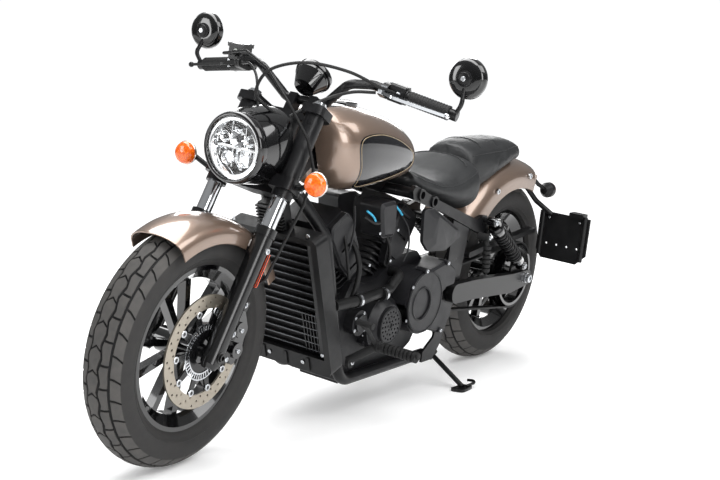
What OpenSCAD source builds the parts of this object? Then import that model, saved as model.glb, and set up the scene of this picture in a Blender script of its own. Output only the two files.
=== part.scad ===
// Bobber motorcycle, parked on its side stand.
// The machine is drawn upright: X runs forward, Y to its left, Z up, and the
// ground point midway between the axles is zero. Parts that steer are turned
// about the steering axis, then the whole machine is leaned onto its stand.

/* [Stance] */
// Distance between the axles
wheelbase = 1562; // [1550:1:1580]
// Lean to the left as parked, in degrees
lean = 7.7; // [7:0.1:8.5]
// Steering turned to the left as parked, in degrees
steer_rest = 4; // [2:0.5:6]
// Angle of the steering axis from upright, in degrees
rake = 29; // [28.5:0.1:29.5]
// Distance on the ground from the steering axis to the tyre's contact
trail = 120; // [116:1:124]

/* [Wheels] */
// Radius of the front tyre
front_tyre_r = 320; // [317:1:323]
// Width of the front tyre
front_tyre_w = 129; // [125:1:132]
// Radius of the rear tyre
rear_tyre_r = 323; // [320:1:326]
// Width of the rear tyre
rear_tyre_w = 151; // [146:1:154]
// Radius of a rim's outer edge
rim_r = 217; // [214:1:219]
// Radius of the brake discs
disc_r = 149; // [145:1:152]
// Radius of both axles
axle_r = 10; // [9:0.5:11]
// Pairs of spokes in a wheel
spoke_pairs = 5; // [5:1:6]

/* [Fork] */
// Distance of each fork leg from the middle
fork_y = 105; // [103:1:108]
// Radius of the plated fork tubes
fork_tube_r = 20.5; // [19:0.5:21.5]
// Radius of the fork's lower legs
fork_leg_r = 26; // [25:0.5:26.5]
// Height of the lower clamp up the steering axis
clamp_low_z = 468; // [462:1:472]
// Height of the upper clamp up the steering axis
clamp_top_z = 672; // [668:1:676]

/* [Bodywork] */
// Half width of the fuel tank
tank_half_w = 140; // [132:1:146]
// Half width of the seat
seat_half_w = 163; // [156:1:168]
// Wall of the mudguards
guard_wall = 3; // [2.5:0.5:4]
// Radius of the headlight's bezel
lamp_r = 84; // [80:1:88]

/* [Engine] */
// Angle between the cylinders, in degrees
vee_angle = 60; // [58:1:62]
// Number of cooling fins round each cylinder
fin_count = 5; // [4:1:6]
// Half width of the radiator
radiator_half_w = 150; // [144:1:154]
// Number of slats across the radiator
slat_count = 15; // [12:1:17]

/* [Hidden] */
$fn = 48;
// Clearances
seat_gap = 0.3;
run_gap = 0.08;
side_run = 0.5;
// How far a tube's straight run enters a bend, and how much fuller the bend is
bend_lap = 0.6;
bend_swell = 0.2;
// Axles
axle_reach = 136;
axle_bore_r = 6;
front_axle = [wheelbase / 2, 0, front_tyre_r];
rear_axle_at = [-wheelbase / 2, 0, rear_tyre_r];
fork_offset = front_tyre_r * sin(rake) - trail * cos(rake);
steer_at = front_axle - fork_offset * [cos(rake), 0, sin(rake)];
// Height that the lean lifts the ground line by, from the round of the front tyre
crown_r = front_tyre_w / 2;
ground_lift = (1 - cos(lean)) * crown_r;
// Wheels and discs
front_hub_r = 34;
rear_hub_r = 42;
front_rim_half_w = 44;
rear_rim_half_w = 50;
front_disc_y = 68.5;
rear_disc_y = -100;
disc_t = 5;
// Bars and mirrors, in the upright frame with the wheel straight
bar_r = 12.7;
bar_path = [[350, 0, 931], [350, 62, 931], [366, 140, 1001], [318, 186, 1005], [281, 404, 966]];
bar_bend = 28;
bar_end = bar_path[4];
mirror_at = [259, 430, 1061];
mirror_r = 51;
// Middle of the headlight's bezel
lamp_at = [648, 0, 818];
// Frame tubes
tube_r = 17;
cradle_path = [[438, 22, 728], [400, 64, 664], [335, 100, 573], [312, 112, 453], [250, 112, 238],
    [214, 112, 134], [-236, 112, 134]];
cradle_bend = 60;
rail_front = [-45, 130, 673];
rail_rear = [-481, 138, 520];
rail_half_h = 20;
rail_t = 16;
rail_slope = (rail_front.z - rail_rear.z) / (rail_front.x - rail_rear.x);
backbone_r = 28;
backbone_path = [[452, 0, 792], [330, 0, 778], [-62, 0, 676]];
pivot_at = [-330, 0, 330];
pivot_r = 24;
pivot_plate_y = 128;
pivot_plate_t = 8;
// Engine
crank_at = [80, 0, 290];
case_half_w = 90;
case_outline = [[212, 190, 20], [224, 330, 30], [170, 420, 20], [96, 404, 16], [40, 412, 16],
    [-60, 470, 24], [-170, 474, 30], [-258, 400, 30], [-262, 300, 30], [-190, 176, 30],
    [-70, 116, 14], [180, 116, 18]];
cylinder_start = 120;
head_start = 232;
head_top = 352;
head_half_w = 92;
pulley_at = [-165, 0, 335];
front_pulley_r = 48;
rear_pulley_r = 112;
belt_y = 98;
belt_w = 28;
belt_t = 6;
stator_at = [40, 0, 283];
stator_r = 82;
// Radiator
radiator_low = [302, 0, 178];
radiator_h = 432;
radiator_t = 34;
radiator_tilt = 19.4;
radiator_chin = 54;
// Swingarm and shocks
arm_y = 138;
arm_t = 28;
shock_y = 168;
shock_top = [-493, shock_y, 547];
shock_low = [-738, shock_y, 372];
shock_eye_half = 14;
// Mudguards
front_guard_r = 341;
front_guard_half_w = 84;
rear_guard_r = 401;
rear_guard_half_w = 105;
rear_guard_edge_r = 303;
strut_y = 84;
strut_from = 31;
strut_sweep = 72;
guard_bolts = [[161, 0, 304], [-61, 0, 341]];
tail_bar = [-902, 0, 656];
tail_bar_r = 9;
tail_bar_half = 90;
// Stand
stand_at = [-340, 80, 112];
stand_foot = [-312, 232];
stand_axis = [-0.11, 0.48, 0.87];
stand_eye_t = 18;
stand_pin_r = 8;
// Row origin: the middle of the box round the parked machine, on the ground
origin_shift = [0, mirror_at.z * sin(lean), 0];

// Engine cover, rail castings and lamp shell
pulley_cover_at = [-121, 0, 334];
pulley_cover_r = 101;
rail_bosses = [-80, -157];
shell_rows = [
    [lamp_at.x - 18, lamp_at.z + lamp_r + 8, lamp_at.z - lamp_r - 8, lamp_r + 8, 2.02],
    [lamp_at.x - 50, lamp_at.z + lamp_r + 15, lamp_at.z - lamp_r - 13, lamp_r + 12, 2.2],
    [lamp_at.x - 86, lamp_at.z + lamp_r + 21, lamp_at.z - lamp_r - 16, lamp_r + 14, 2.5],
    [lamp_at.x - 122, lamp_at.z + lamp_r + 22, lamp_at.z - lamp_r - 12, lamp_r + 10, 2.7],
    [lamp_at.x - 138, lamp_at.z + lamp_r + 10, lamp_at.z - lamp_r + 8, lamp_r - 10, 2.7]];

// Vector helpers
function unit(v) = v / norm(v);
function flip(p) = [p.x, -p.y, p.z];

// Outline whose corners [x, y, radius] are rounded by short chords
function arc_corner(a, b, c, steps = 6) =
    let (u = unit([a.x - b.x, a.y - b.y]), v = unit([c.x - b.x, c.y - b.y]),
        half = acos(max(-1, min(1, u * v))) / 2, reach = b.z / tan(half),
        o = [b.x, b.y] + unit(u + v) * b.z / sin(half),
        p = [b.x, b.y] + u * reach - o, q = [b.x, b.y] + v * reach - o,
        turn = 180 - 2 * half, side = sign(p.x * q.y - p.y * q.x))
    [for (i = [0:steps]) let (t = side * turn * i / steps)
        o + [p.x * cos(t) - p.y * sin(t), p.x * sin(t) + p.y * cos(t)]];
function rounded(pts, steps = 6) = [for (i = [0:len(pts) - 1])
    each arc_corner(pts[(i + len(pts) - 1) % len(pts)], pts[i], pts[(i + 1) % len(pts)], steps)];
// The same outline drawn in towards a centre
function shrink(pts, about, k) = [for (p = pts)
    [about.x + (p.x - about.x) * k, about.y + (p.y - about.y) * k, p.z * k]];

// Solid between two values of Y from an outline in the X, Z plane
module side_slab(outline, y0, y1) {
    translate([0, y1, 0]) rotate([90, 0, 0]) linear_extrude(y1 - y0) polygon(outline);
}

// Crown on a slab's outer face, from y0 out to y1: the outline drawn in towards a point,
// a little at its foot, so that a narrow ledge stays round it, and by k at its top
module side_crown(outline, about, y0, y1, k) {
    ledge = 0.975;
    translate([about.x, y0, about.y]) rotate([-90, 0, 0]) linear_extrude(y1 - y0, scale = k)
        polygon([for (p = outline) ledge * [p.x - about.x, about.y - p.y]]);
}

// Cylinder along Y between two values of Y
module y_pin(at, y0, y1, r) {
    translate([at.x, y1, at.z]) rotate([90, 0, 0]) cylinder(h = y1 - y0, r = r);
}

// Straight rod or taper between two points
module rod(a, b, r, r2 = -1) {
    d = b - a;
    translate(a) rotate([0, acos(d.z / norm(d)), atan2(d.y, d.x)])
        cylinder(h = norm(d), r1 = r, r2 = r2 < 0 ? r : r2);
}

// Tube of constant radius along straight runs joined by arcs of one bend radius.
// Each arc is a hair fuller than the runs, which end just inside it.
module bent_tube(pts, r, bend) {
    n = len(pts);
    function turn(i) = acos(max(-1, min(1, unit(pts[i] - pts[i - 1]) * unit(pts[i + 1] - pts[i]))));
    function cut(i) = i == 0 || i == n - 1 ? 0 : bend * tan(turn(i) / 2) - bend_lap;
    for (i = [0:n - 2]) {
        u = unit(pts[i + 1] - pts[i]);
        rod(pts[i] + u * cut(i), pts[i + 1] - u * cut(i + 1), r);
    }
    for (i = [1:n - 2]) {
        u = unit(pts[i] - pts[i - 1]);
        v = unit(pts[i + 1] - pts[i]);
        inward = unit(v - u * (u * v));
        c = pts[i] - u * (cut(i) + bend_lap) + inward * bend;
        z = cross(-inward, u);
        multmatrix([[-inward.x, u.x, z.x, c.x], [-inward.y, u.y, z.y, c.y], [-inward.z, u.z, z.z, c.z]])
            rotate_extrude(angle = turn(i)) translate([bend, 0]) circle(r = r + bend_swell);
    }
}

// Closed skin through rows [x, top, bottom, half width, squareness] of the body's sections
module section_loft(rows, count = 40) {
    function signed(v, e) = sign(v) * pow(abs(v), 2 / e);
    rings = [for (row = rows) [for (i = [0:count - 1]) let (a = 360 * i / count)
        [row[0], row[3] * signed(cos(a), row[4]),
            (row[1] + row[2]) / 2 + (row[1] - row[2]) / 2 * signed(sin(a), row[4])]]];
    last = len(rows) - 1;
    points = [for (ring = rings) each ring];
    sides = [for (j = [0:last - 1]) for (i = [0:count - 1]) let (k = (i + 1) % count)
        [j * count + i, j * count + k, (j + 1) * count + k, (j + 1) * count + i]];
    polyhedron(concat(points), concat([[for (i = [count - 1:-1:0]) i]], sides,
        [[for (i = [0:count - 1]) last * count + i]]));
}

// Half of each pair on both sides of the machine
module both_sides() {
    children();
    mirror([0, 1, 0]) children();
}

// Places of bodies
module parked() {
    translate([0, 0, ground_lift] - origin_shift) rotate([-lean, 0, 0]) children();
}
module steered() {
    parked() translate(steer_at) rotate([0, -rake, 0]) rotate([0, 0, steer_rest])
        rotate([0, rake, 0]) translate(-steer_at) children();
}
// Frame of the fork: Z up the steering axis, X forward, zero beside the front axle
module fork_frame() {
    translate(steer_at) rotate([0, -rake, 0]) children();
}

// Wheels
module rim_barrel(half_w) {
    rotate([90, 0, 0]) rotate_extrude($fn = 96) polygon([
        [rim_r, half_w], [rim_r, half_w - 6], [rim_r - 13, half_w - 8], [rim_r - 16, half_w - 22],
        [rim_r - 30, half_w - 32], [rim_r - 30, 32 - half_w], [rim_r - 16, 22 - half_w],
        [rim_r - 13, 8 - half_w], [rim_r, 6 - half_w], [rim_r, -half_w], [rim_r - 12, -half_w],
        [rim_r - 24, 12 - half_w], [rim_r - 38, 26 - half_w], [rim_r - 38, half_w - 26],
        [rim_r - 24, half_w - 12], [rim_r - 12, half_w]]);
}

module cast_spokes(hub_r) {
    spoke_in = hub_r - 4;
    spoke_out = rim_r - 34;
    for (i = [0:spoke_pairs - 1]) rotate([0, i * 360 / spoke_pairs, 0]) for (side = [-1, 1])
        rotate([90, 0, 0]) linear_extrude(26, center = true) polygon([
            [spoke_in, side * 3], [spoke_out, side * 34], [spoke_out, side * 56], [spoke_in, side * 19]]);
}

module wheel_at(at) {
    translate(at) children();
}

module cast_rim(half_w, hub_r, hub_y0, hub_y1) {
    difference() {
        union() {
            rim_barrel(half_w);
            cast_spokes(hub_r);
            y_pin([0, 0, 0], hub_y0, hub_y1, hub_r);
        }
        y_pin([0, 0, 0], hub_y0 - 1, hub_y1 + 1, axle_r + run_gap);
    }
}

module tyre(outer_r, width, rim_half_w) {
    half = width / 2;
    bead_r = rim_r - 13 + seat_gap;
    rotate([90, 0, 0]) rotate_extrude($fn = 96) polygon(concat(
        [[bead_r, rim_half_w - 8.5], [rim_r + seat_gap, rim_half_w - 6.5], [rim_r + seat_gap, rim_half_w - 1]],
        [for (a = [92:-11.5:-92]) [outer_r - half * 0.98 + half * 0.98 * cos(a), half * sin(a)]],
        [[rim_r + seat_gap, 1 - rim_half_w], [rim_r + seat_gap, 6.5 - rim_half_w], [bead_r, 8.5 - rim_half_w]]));
}

module brake_disc(y0, thick, inner_r) {
    difference() {
        y_pin([0, 0, 0], y0, y0 + thick, disc_r);
        y_pin([0, 0, 0], y0 - 1, y0 + thick + 1, inner_r);
        for (row = [0:2]) for (i = [0:17]) rotate([0, i * 20 + row * 7, 0])
            y_pin([disc_r - 9 - row * 10, 0, 0], y0 - 1, y0 + thick + 1, 3.2);
    }
}

module disc_carrier(y0, thick, hub_r) {
    carrier_r = disc_r - 42;
    difference() {
        union() {
            y_pin([0, 0, 0], y0, y0 + thick, hub_r + 22);
            for (i = [0:9]) rotate([0, i * 36, 0]) {
                rotate([90, 0, 0]) translate([0, 0, -y0 - thick]) linear_extrude(thick)
                    polygon([[hub_r + 10, -11], [carrier_r, -7], [carrier_r, 7], [hub_r + 10, 11]]);
                y_pin([carrier_r, 0, 0], y0 - 1, y0 + thick + 1, 9);
            }
        }
        y_pin([0, 0, 0], y0 - 2, y0 + thick + 2, hub_r - 2);
    }
}

module front_rim() {
    color("#101012") steered() wheel_at(front_axle) cast_rim(front_rim_half_w, front_hub_r, -62, front_disc_y);
}

module front_tyre() {
    color("#1c1c1e") steered() wheel_at(front_axle) tyre(front_tyre_r, front_tyre_w, front_rim_half_w);
}

module front_disc() {
    color("#a8a49c") steered() wheel_at(front_axle) {
        brake_disc(front_disc_y, disc_t, disc_r - 36);
        disc_carrier(front_disc_y, disc_t, front_hub_r);
    }
}

module rear_rim() {
    color("#101012") parked() wheel_at(rear_axle_at) difference() {
        union() {
            cast_rim(rear_rim_half_w, rear_hub_r, rear_disc_y + disc_t, 96);
            rear_pulley();
        }
        y_pin([0, 0, 0], -93, 130, axle_r + run_gap);
    }
}

module rear_pulley() {
    difference() {
        union() {
            y_pin([0, 0, 0], belt_y - 2, belt_y + belt_w + 2, rear_pulley_r - 2);
            y_pin([0, 0, 0], belt_y - 5, belt_y - 2, rear_pulley_r + 5);
        }
        y_pin([0, 0, 0], belt_y + 8, belt_y + belt_w + 3, rear_pulley_r - 12);
        for (i = [0:4]) rotate([0, i * 72, 0]) y_pin([68, 0, 0], belt_y - 6, belt_y + 9, 21);
    }
    y_pin([0, 0, 0], belt_y, belt_y + belt_w + 4, 26);
}

module rear_tyre() {
    color("#1c1c1e") parked() wheel_at(rear_axle_at) tyre(rear_tyre_r, rear_tyre_w, rear_rim_half_w);
}

module rear_disc() {
    color("#a8a49c") parked() wheel_at(rear_axle_at) {
        brake_disc(rear_disc_y, disc_t, disc_r - 36);
        disc_carrier(rear_disc_y, disc_t, rear_hub_r);
    }
}

// Frame
module head_gusset() {
    side_slab([[480, 748], [460, 722], [415, 692], [340, 752], [340, 800], [418, 850]], -30, 30);
}

module frame_spine() {
    color("#17171a") parked() {
        difference() {
            union() {
                fork_frame() translate([0, 0, clamp_low_z + 24]) cylinder(h = clamp_top_z - clamp_low_z - 30, r = 32);
                head_gusset();
                bent_tube(backbone_path, backbone_r, 120);
            }
            fork_frame() translate([0, 0, clamp_low_z]) cylinder(h = 260, r = 15 + run_gap);
        }
        y_pin([rail_front.x - 12, 0, rail_front.z - 6], -rail_front.y - 6, rail_front.y + 6, 17);
        both_sides() rear_rail();
    }
}

module rear_rail() {
    difference() {
        union() {
            side_slab(rounded([
                [rail_front.x - 4, rail_front.z + rail_half_h, 8], [rail_front.x + 14, rail_front.z + 6, 6],
                [rail_front.x + 6, rail_front.z - rail_half_h, 8], [-200, rail_z(-200) - rail_half_h + 5, 40],
                [rail_rear.x, rail_rear.z - rail_half_h, 10], [rail_rear.x - 30, rail_rear.z - 4, 8],
                [shock_top.x - 18, shock_top.z + 14, 10], [shock_top.x + 14, shock_top.z + 17, 8],
                [rail_rear.x + 40, rail_z(rail_rear.x + 40) + rail_half_h, 12], [-200, rail_z(-200) + rail_half_h - 5, 40]]),
                rail_front.y - rail_t / 2, rail_front.y + rail_t / 2);
            for (x = rail_bosses) y_pin([x, 0, rail_z(x) + 2], rail_front.y - 12, rail_front.y + 14, rail_half_h - 2);
        }
        for (x = rail_bosses) y_pin([x, 0, rail_z(x) + 2], rail_front.y + 2, rail_front.y + 20, rail_half_h - 8);
    }
    // Strut that carries the rear mudguard from inside
    translate(rear_axle_at) rotate([90, 0, 0]) translate([0, 0, -strut_y - 7]) rotate([0, 0, strut_from])
        rotate_extrude(angle = strut_sweep, $fn = 96) translate([338, 0]) square([24, 7]);
    y_pin([rail_rear.x + 11, 0, rail_rear.z + 3], strut_y, rail_front.y, 12);
    y_pin(shock_top, rail_front.y, shock_y - shock_eye_half, 9);
}

function rail_z(x) = rail_front.z + rail_slope * (x - rail_front.x);

module cradle_side() {
    difference() {
        union() {
            bent_tube(cradle_path, tube_r, cradle_bend);
            side_slab([[-296, rail_z(-296) - rail_half_h], [-400, rail_z(-400) - rail_half_h], [-372, 330],
                [-300, 160], [-262, 117], [-200, 117], [-200, 151], [-258, 190], [-288, 330]],
                pivot_plate_y, pivot_plate_y + pivot_plate_t);
            y_pin(pivot_at, pivot_plate_y - 1, pivot_plate_y + pivot_plate_t, 40);
        }
        head_gusset();
        y_pin(pivot_at, 0, 200, pivot_r + seat_gap);
    }
}

module cradle_left() {
    color("#17171a") parked() {
        cradle_side();
        stand_bracket();
    }
}

module cradle_right() {
    color("#17171a") parked() mirror([0, 1, 0]) cradle_side();
}

// Radiator, tilted with the front tubes
module radiator_frame() {
    translate(radiator_low) rotate([0, radiator_tilt, 0]) children();
}

module radiator() {
    core_from = radiator_chin + 6;
    pitch = (radiator_h - core_from - 26) / slat_count;
    color("#1b1b1d") parked() radiator_frame() {
        for (side = [-1, 1]) translate([-radiator_t, side * (radiator_half_w - 24) - 11, 18])
            cube([radiator_t, 22, radiator_h - 36]);
        translate([-radiator_t + 4, -radiator_half_w + 34, 18]) cube([14, 2 * radiator_half_w - 68, radiator_h - 36]);
        for (i = [0:slat_count]) translate([-15, -radiator_half_w + 34, core_from + i * pitch]) rotate([0, -25, 0])
            cube([12, 2 * radiator_half_w - 68, 2.4]);
        // Upright bars over the lower left corner
        for (i = [0:4]) translate([-16, radiator_half_w - 44 - i * 11, core_from - 4]) cube([12, 3, 128]);
    }
}

// Finned voltage regulator on the radiator's top edge
module regulator() {
    translate([-34, -44, radiator_h - 4]) cube([30, 88, 74]);
    for (i = [0:6]) translate([-6, -44, radiator_h + 6 + i * 9.5]) cube([14, 88, 4]);
    for (side = [-1, 1]) translate([-20, side * 50, radiator_h - 4]) cylinder(h = 26, r = 8);
}

module radiator_shroud() {
    window_w = 2 * radiator_half_w - 24;
    color("#121214") parked() radiator_frame() {
        difference() {
            translate([-radiator_t - 6, -radiator_half_w - 8, 0]) rotate([90, 0, 90]) linear_extrude(radiator_t + 20)
                polygon(rounded([[0, 0, 26], [2 * radiator_half_w + 16, 0, 26],
                    [2 * radiator_half_w + 16, radiator_h, 20], [0, radiator_h, 20]]));
            translate([-radiator_t - 7, -window_w / 2, 17]) cube([radiator_t + 7, window_w, radiator_h - 34]);
            translate([-1, -window_w / 2, radiator_chin]) cube([40, window_w, radiator_h - radiator_chin - 17]);
        }
        // Ribs across the chin
        for (y = [-80, 0, 80]) translate([13, y - 4, 8]) cube([5, 8, radiator_chin - 14]);
        regulator();
    }
}

// Engine
module crankcase() {
    color("#161618") parked() {
        side_slab(rounded(case_outline), -case_half_w, case_half_w);
        for (i = [0:4]) side_slab([[150 - i * 44, 104], [158 - i * 44, 104], [158 - i * 44, 117],
            [150 - i * 44, 117]], -70, 70);
        // Oil filter and the cover ahead of it
        rod([196, 34, 214], [250, 34, 200], 36);
        rod([196, -44, 250], [232, -44, 246], 26);
    }
}

module cylinder_frame(forward) {
    translate(crank_at) rotate([0, forward * vee_angle / 2, 0]) children();
}

module cylinder_unit() {
    barrel_w = 62;
    fin_pitch = (head_start - cylinder_start - 20) / fin_count;
    cover = rounded([[-26, cylinder_start + 58, 10], [22, cylinder_start + 52, 12], [46, head_start + 4, 30],
        [54, head_top - 14, 10], [40, head_top + 18, 16], [-40, head_top + 18, 16], [-54, head_top - 14, 10],
        [-50, head_start + 4, 30]]);
    translate([0, 0, cylinder_start]) cylinder(h = head_start - cylinder_start, r = barrel_w - 6);
    for (i = [0:fin_count]) translate([0, 0, cylinder_start + 14 + i * fin_pitch]) linear_extrude(5)
        polygon(rounded([[-barrel_w, -72, 24], [barrel_w, -72, 24], [barrel_w, 72, 24], [-barrel_w, 72, 24]]));
    translate([0, 0, head_start]) linear_extrude(head_top - head_start) polygon(rounded([
        [-56, 8 - head_half_w, 18], [56, 8 - head_half_w, 18], [56, head_half_w - 8, 18], [-56, head_half_w - 8, 18]]));
    translate([0, 0, head_top]) linear_extrude(22) polygon(rounded([
        [-44, -76, 16], [44, -76, 16], [44, 76, 16], [-44, 76, 16]]));
    // Side covers with two slots each
    both_sides() difference() {
        union() {
            side_slab(cover, 70, head_half_w);
            side_crown(cover, [0, 290], head_half_w - 1, head_half_w + 5, 0.92);
        }
        for (h = [head_start + 46, head_start - 26]) side_slab(rounded([[-30, h - 4, 3.9], [30, h - 4, 3.9],
            [30, h + 4, 3.9], [-30, h + 4, 3.9]]), head_half_w - 2, head_half_w + 6);
    }
}

module front_cylinder() {
    color("#202023") parked() difference() {
        cylinder_frame(1) cylinder_unit();
        side_slab(rounded(case_outline), -120, 120);
        cylinder_frame(-1) translate([0, 0, 150]) cube([126, 200, 300], center = true);
    }
}

module rear_cylinder() {
    color("#202023") parked() difference() {
        cylinder_frame(-1) cylinder_unit();
        side_slab(rounded(case_outline), -120, 120);
    }
}

module engine_covers() {
    color("#19191c") parked() {
        difference() {
            union() {
                y_pin(stator_at, case_half_w, 128, stator_r);
                rod(stator_at + [0, 127, 0], stator_at + [0, 150, 0], stator_r - 2, stator_r - 20);
                y_pin(stator_at, 149, 158, 56);
                // The sixth ear would lie behind the pulley cover
                for (i = [0, 1, 3, 4, 5]) y_pin(stator_at + (stator_r - 3) * [cos(i * 60 + 20), 0, sin(i * 60 + 20)],
                    case_half_w, 112, 9);
            }
            for (row = [1:3]) for (i = [0:row * 6 - 1]) y_pin(stator_at + row * 14 * [cos(i * 60 / row), 0,
                sin(i * 60 / row)], 153, 159, 3.6);
            y_pin(stator_at, 155, 159, 8);
        }
        // Water pump housing, ahead of the round cover
        y_pin([150, 0, 300], case_half_w, 122, 38);
        y_pin([150, 0, 300], 121, 130, 26);
        y_pin([-10, 0, 300], -130, -case_half_w, 104);
        y_pin([-10, 0, 300], -152, -129, 92);
        y_pin([120, 0, 250], -128, -case_half_w, 48);
    }
}

module pulley_cover() {
    wall = 5;
    tail = [[-112, 418, 10], [-120, 429, 6], [-231, 452, 14], [-292, 420, 14], [-292, 374, 10], [-241, 370, 10], [-206, 346, 12],
        [-224, 322, 10], [-290, 292, 10], [-290, 258, 20], [-232, 217, 24], [-138, 244, 10]];
    inside = [[-117, 418], [-229, 445], [-285, 416], [-285, 381], [-244, 377], [-197, 347], [-221, 316],
        [-283, 288], [-283, 260], [-231, 225], [-150, 248]];
    color("#19191c") parked() difference() {
        union() {
            y_pin(pulley_cover_at, case_half_w + seat_gap, 164, pulley_cover_r);
            y_pin(pulley_cover_at, 163, 171, pulley_cover_r - 7);
            side_slab(rounded(tail), case_half_w + seat_gap, 164);
            side_crown(rounded(tail), [-215, 330], 163, 171, 0.94);
            for (at = [[-104, 0, 434], [-226, 0, 444], [-226, 0, 228]]) y_pin(at, 140, 175, 9);
        }
        y_pin(pulley_cover_at, case_half_w - 1, 164 - wall, pulley_cover_r - wall);
        side_slab(inside, case_half_w - 1, 164 - wall);
        // Way out for the belt, and room for the frame's plate behind the tail
        side_slab([[-152, 262], [-400, 240], [-400, 420], [-152, 408]], 0, 134);
        side_slab([[-256, 100], [-256, 500], [-400, 500], [-400, 100]], 0, pivot_plate_y + pivot_plate_t + seat_gap);
        y_pin([-101, 0, 332], 167, 180, 50);
        y_pin(stator_at, 0, 180, stator_r + seat_gap);
    }
}

module side_covers() {
    cover = rounded([[-86, 620, 12], [-140, 620, 20], [-314, 536, 14], [-326, 514, 12], [-236, 478, 24],
        [-134, 486, 20], [-96, 520, 20]]);
    intake = rounded([[98, 645, 14], [14, 650, 14], [4, 540, 12], [74, 541, 14]]);
    color("#131316") parked() both_sides() {
        side_slab(cover, 141, 152);
        side_crown(cover, [-190, 552], 151, 164, 0.64);
        // Intake cover between the heads
        side_slab(intake, 40, 112);
        side_crown(intake, [45, 598], 111, 120, 0.82);
    }
}

module coolant_hose() {
    color("#1a1a1c") parked() {
        bent_tube([[326.6, 148, 384], [200, 150, 384], [40, 138, 390], [-30, 128, 426],
            [-30, case_half_w + seat_gap, 426]], 15, 24);
        for (x = [214, 84]) rod([x, 149, 384], [x + 12, 149, 384], 18);
    }
}

module exhaust() {
    front_port = [258, -head_half_w - 5 - seat_gap, 540];
    rear_port = [-60, -head_half_w - 5 - seat_gap, 505];
    low_start = [-150, -182, 160];
    high_start = [-196, -216, 262];
    color("#151517") parked() {
        bent_tube([front_port, [258, -157, 540], [110, -160, 180], low_start], 21, 45);
        bent_tube([rear_port, [-60, -150, 505], [-140, -176, 330], high_start], 20, 34);
        silencer(low_start, [-820, -190, 190], 42);
        silencer(high_start, [-850, -224, 292], 38);
    }
}

// Silencer: cone in, long body, open slash-cut end
module silencer(from, to, r) {
    u = unit(to - from);
    difference() {
        union() {
            rod(from, from + u * 50, 22, r);
            rod(from + u * 50, to, r);
        }
        rod(to - u * 60, to + u * 1, r - 8);
        translate(to) rotate([0, 35, 0]) translate([-60, -100, -100]) cube([60, 200, 200]);
    }
}

// Bodywork
tank_rows = [
    [336, 878, 802, 34, 2.2], [330, 893, 772, 62, 2.2], [312, 908, 722, 100, 2.3], [270, 920, 688, 0.93 * tank_half_w, 2.4],
    [203, 922, 680, tank_half_w, 2.5], [110, 908, 684, 0.985 * tank_half_w, 2.5], [20, 884, 690, 0.92 * tank_half_w, 2.4],
    [-50, 852, 696, 0.82 * tank_half_w, 2.3], [-84, 826, 708, 0.66 * tank_half_w, 2.2], [-98, 800, 726, 0.4 * tank_half_w, 2.1]];
module fuel_tank() {
    color("#9b8770") parked() difference() {
        union() {
            section_loft(tank_rows);
            translate([170, 0, 905]) cylinder(h = 24, r = 38);
        }
        // Tunnel over the backbone
        side_slab([[400, 600], [400, 846], [330, 812], [-70, 712], [-110, 700], [-110, 600]],
            -backbone_r - 5, backbone_r + 5);
    }
}

seat_rows = [
    [-78, 744, 676, 70, 2.2], [-92, 740, 670, 104, 2.3], [-140, 716, 650, 0.8 * seat_half_w, 2.4],
    [-210, 694, 630, 0.93 * seat_half_w, 2.5], [-290, 704, 606, seat_half_w, 2.6], [-360, 734, 588, seat_half_w, 2.6],
    [-410, 756, 576, 0.96 * seat_half_w, 2.5], [-436, 744, 590, 0.86 * seat_half_w, 2.3]];
module seat() {
    color("#1b1b1d") parked() difference() {
        section_loft(seat_rows);
        section_loft([for (row = tank_rows) [row[0] - 1, row[1] + 1, row[2] - 1, row[3] + 1, row[4]]]);
        side_slab([[0, rail_z(0) + rail_half_h + seat_gap], [-520, rail_z(-520) + rail_half_h + seat_gap], [-520, 300], [0, 300]], -200, 200);
        y_pin(rear_axle_at, -200, 200, rear_guard_r + seat_gap);
    }
}

pillion_rows = [
    [-440, 768, 640, 74, 2.2], [-456, 784, 630, 92, 2.4], [-520, 794, 620, 104, 2.6], [-640, 792, 660, 106, 2.6],
    [-740, 792, 700, 102, 2.6], [-778, 782, 706, 92, 2.4], [-794, 764, 716, 72, 2.2]];
module pillion_pad() {
    color("#1b1b1d") parked() difference() {
        section_loft(pillion_rows);
        y_pin(rear_axle_at, -200, 200, rear_guard_r + seat_gap);
        section_loft([for (row = seat_rows) [row[0] - 1, row[1] + 1, row[2] - 1, row[3] + 1, row[4]]]);
    }
}

// Mudguard shell about an axle: a curved strip carried round from one angle to another
module guard_shell(crown, half_w, edge, from, to) {
    drop = crown - edge;
    function strip(r, w) = [for (a = [-90:10:90]) [r - drop * (1 - pow(cos(a), 0.55)), w * sin(a)]];
    rotate([90, 0, 0]) rotate([0, 0, from]) rotate_extrude(angle = to - from, $fn = 120)
        polygon(concat(strip(crown, half_w), [for (i = [18:-1:0]) strip(crown - guard_wall, half_w - guard_wall)[i]]));
}

module front_fender() {
    color("#9b8770") steered() translate(front_axle) difference() {
        guard_shell(front_guard_r, front_guard_half_w, 281, 64, 150);
        translate(-front_axle) fork_frame() both_sides() translate([fork_offset, fork_y, 0]) cylinder(h = 400, r = fork_leg_r + 3 + seat_gap);
    }
}

module rear_fender() {
    color("#9b8770") parked() translate(rear_axle_at) {
        guard_shell(rear_guard_r, rear_guard_half_w, rear_guard_edge_r, 36, 110);
        // Bosses that meet the struts
        for (at = guard_bolts) both_sides() y_pin(at, strut_y + 7 + seat_gap, 99.5, 9);
        both_sides() y_pin(tail_bar - rear_axle_at, tail_bar_half + seat_gap, 99.5, tail_bar_r);
    }
}

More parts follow.
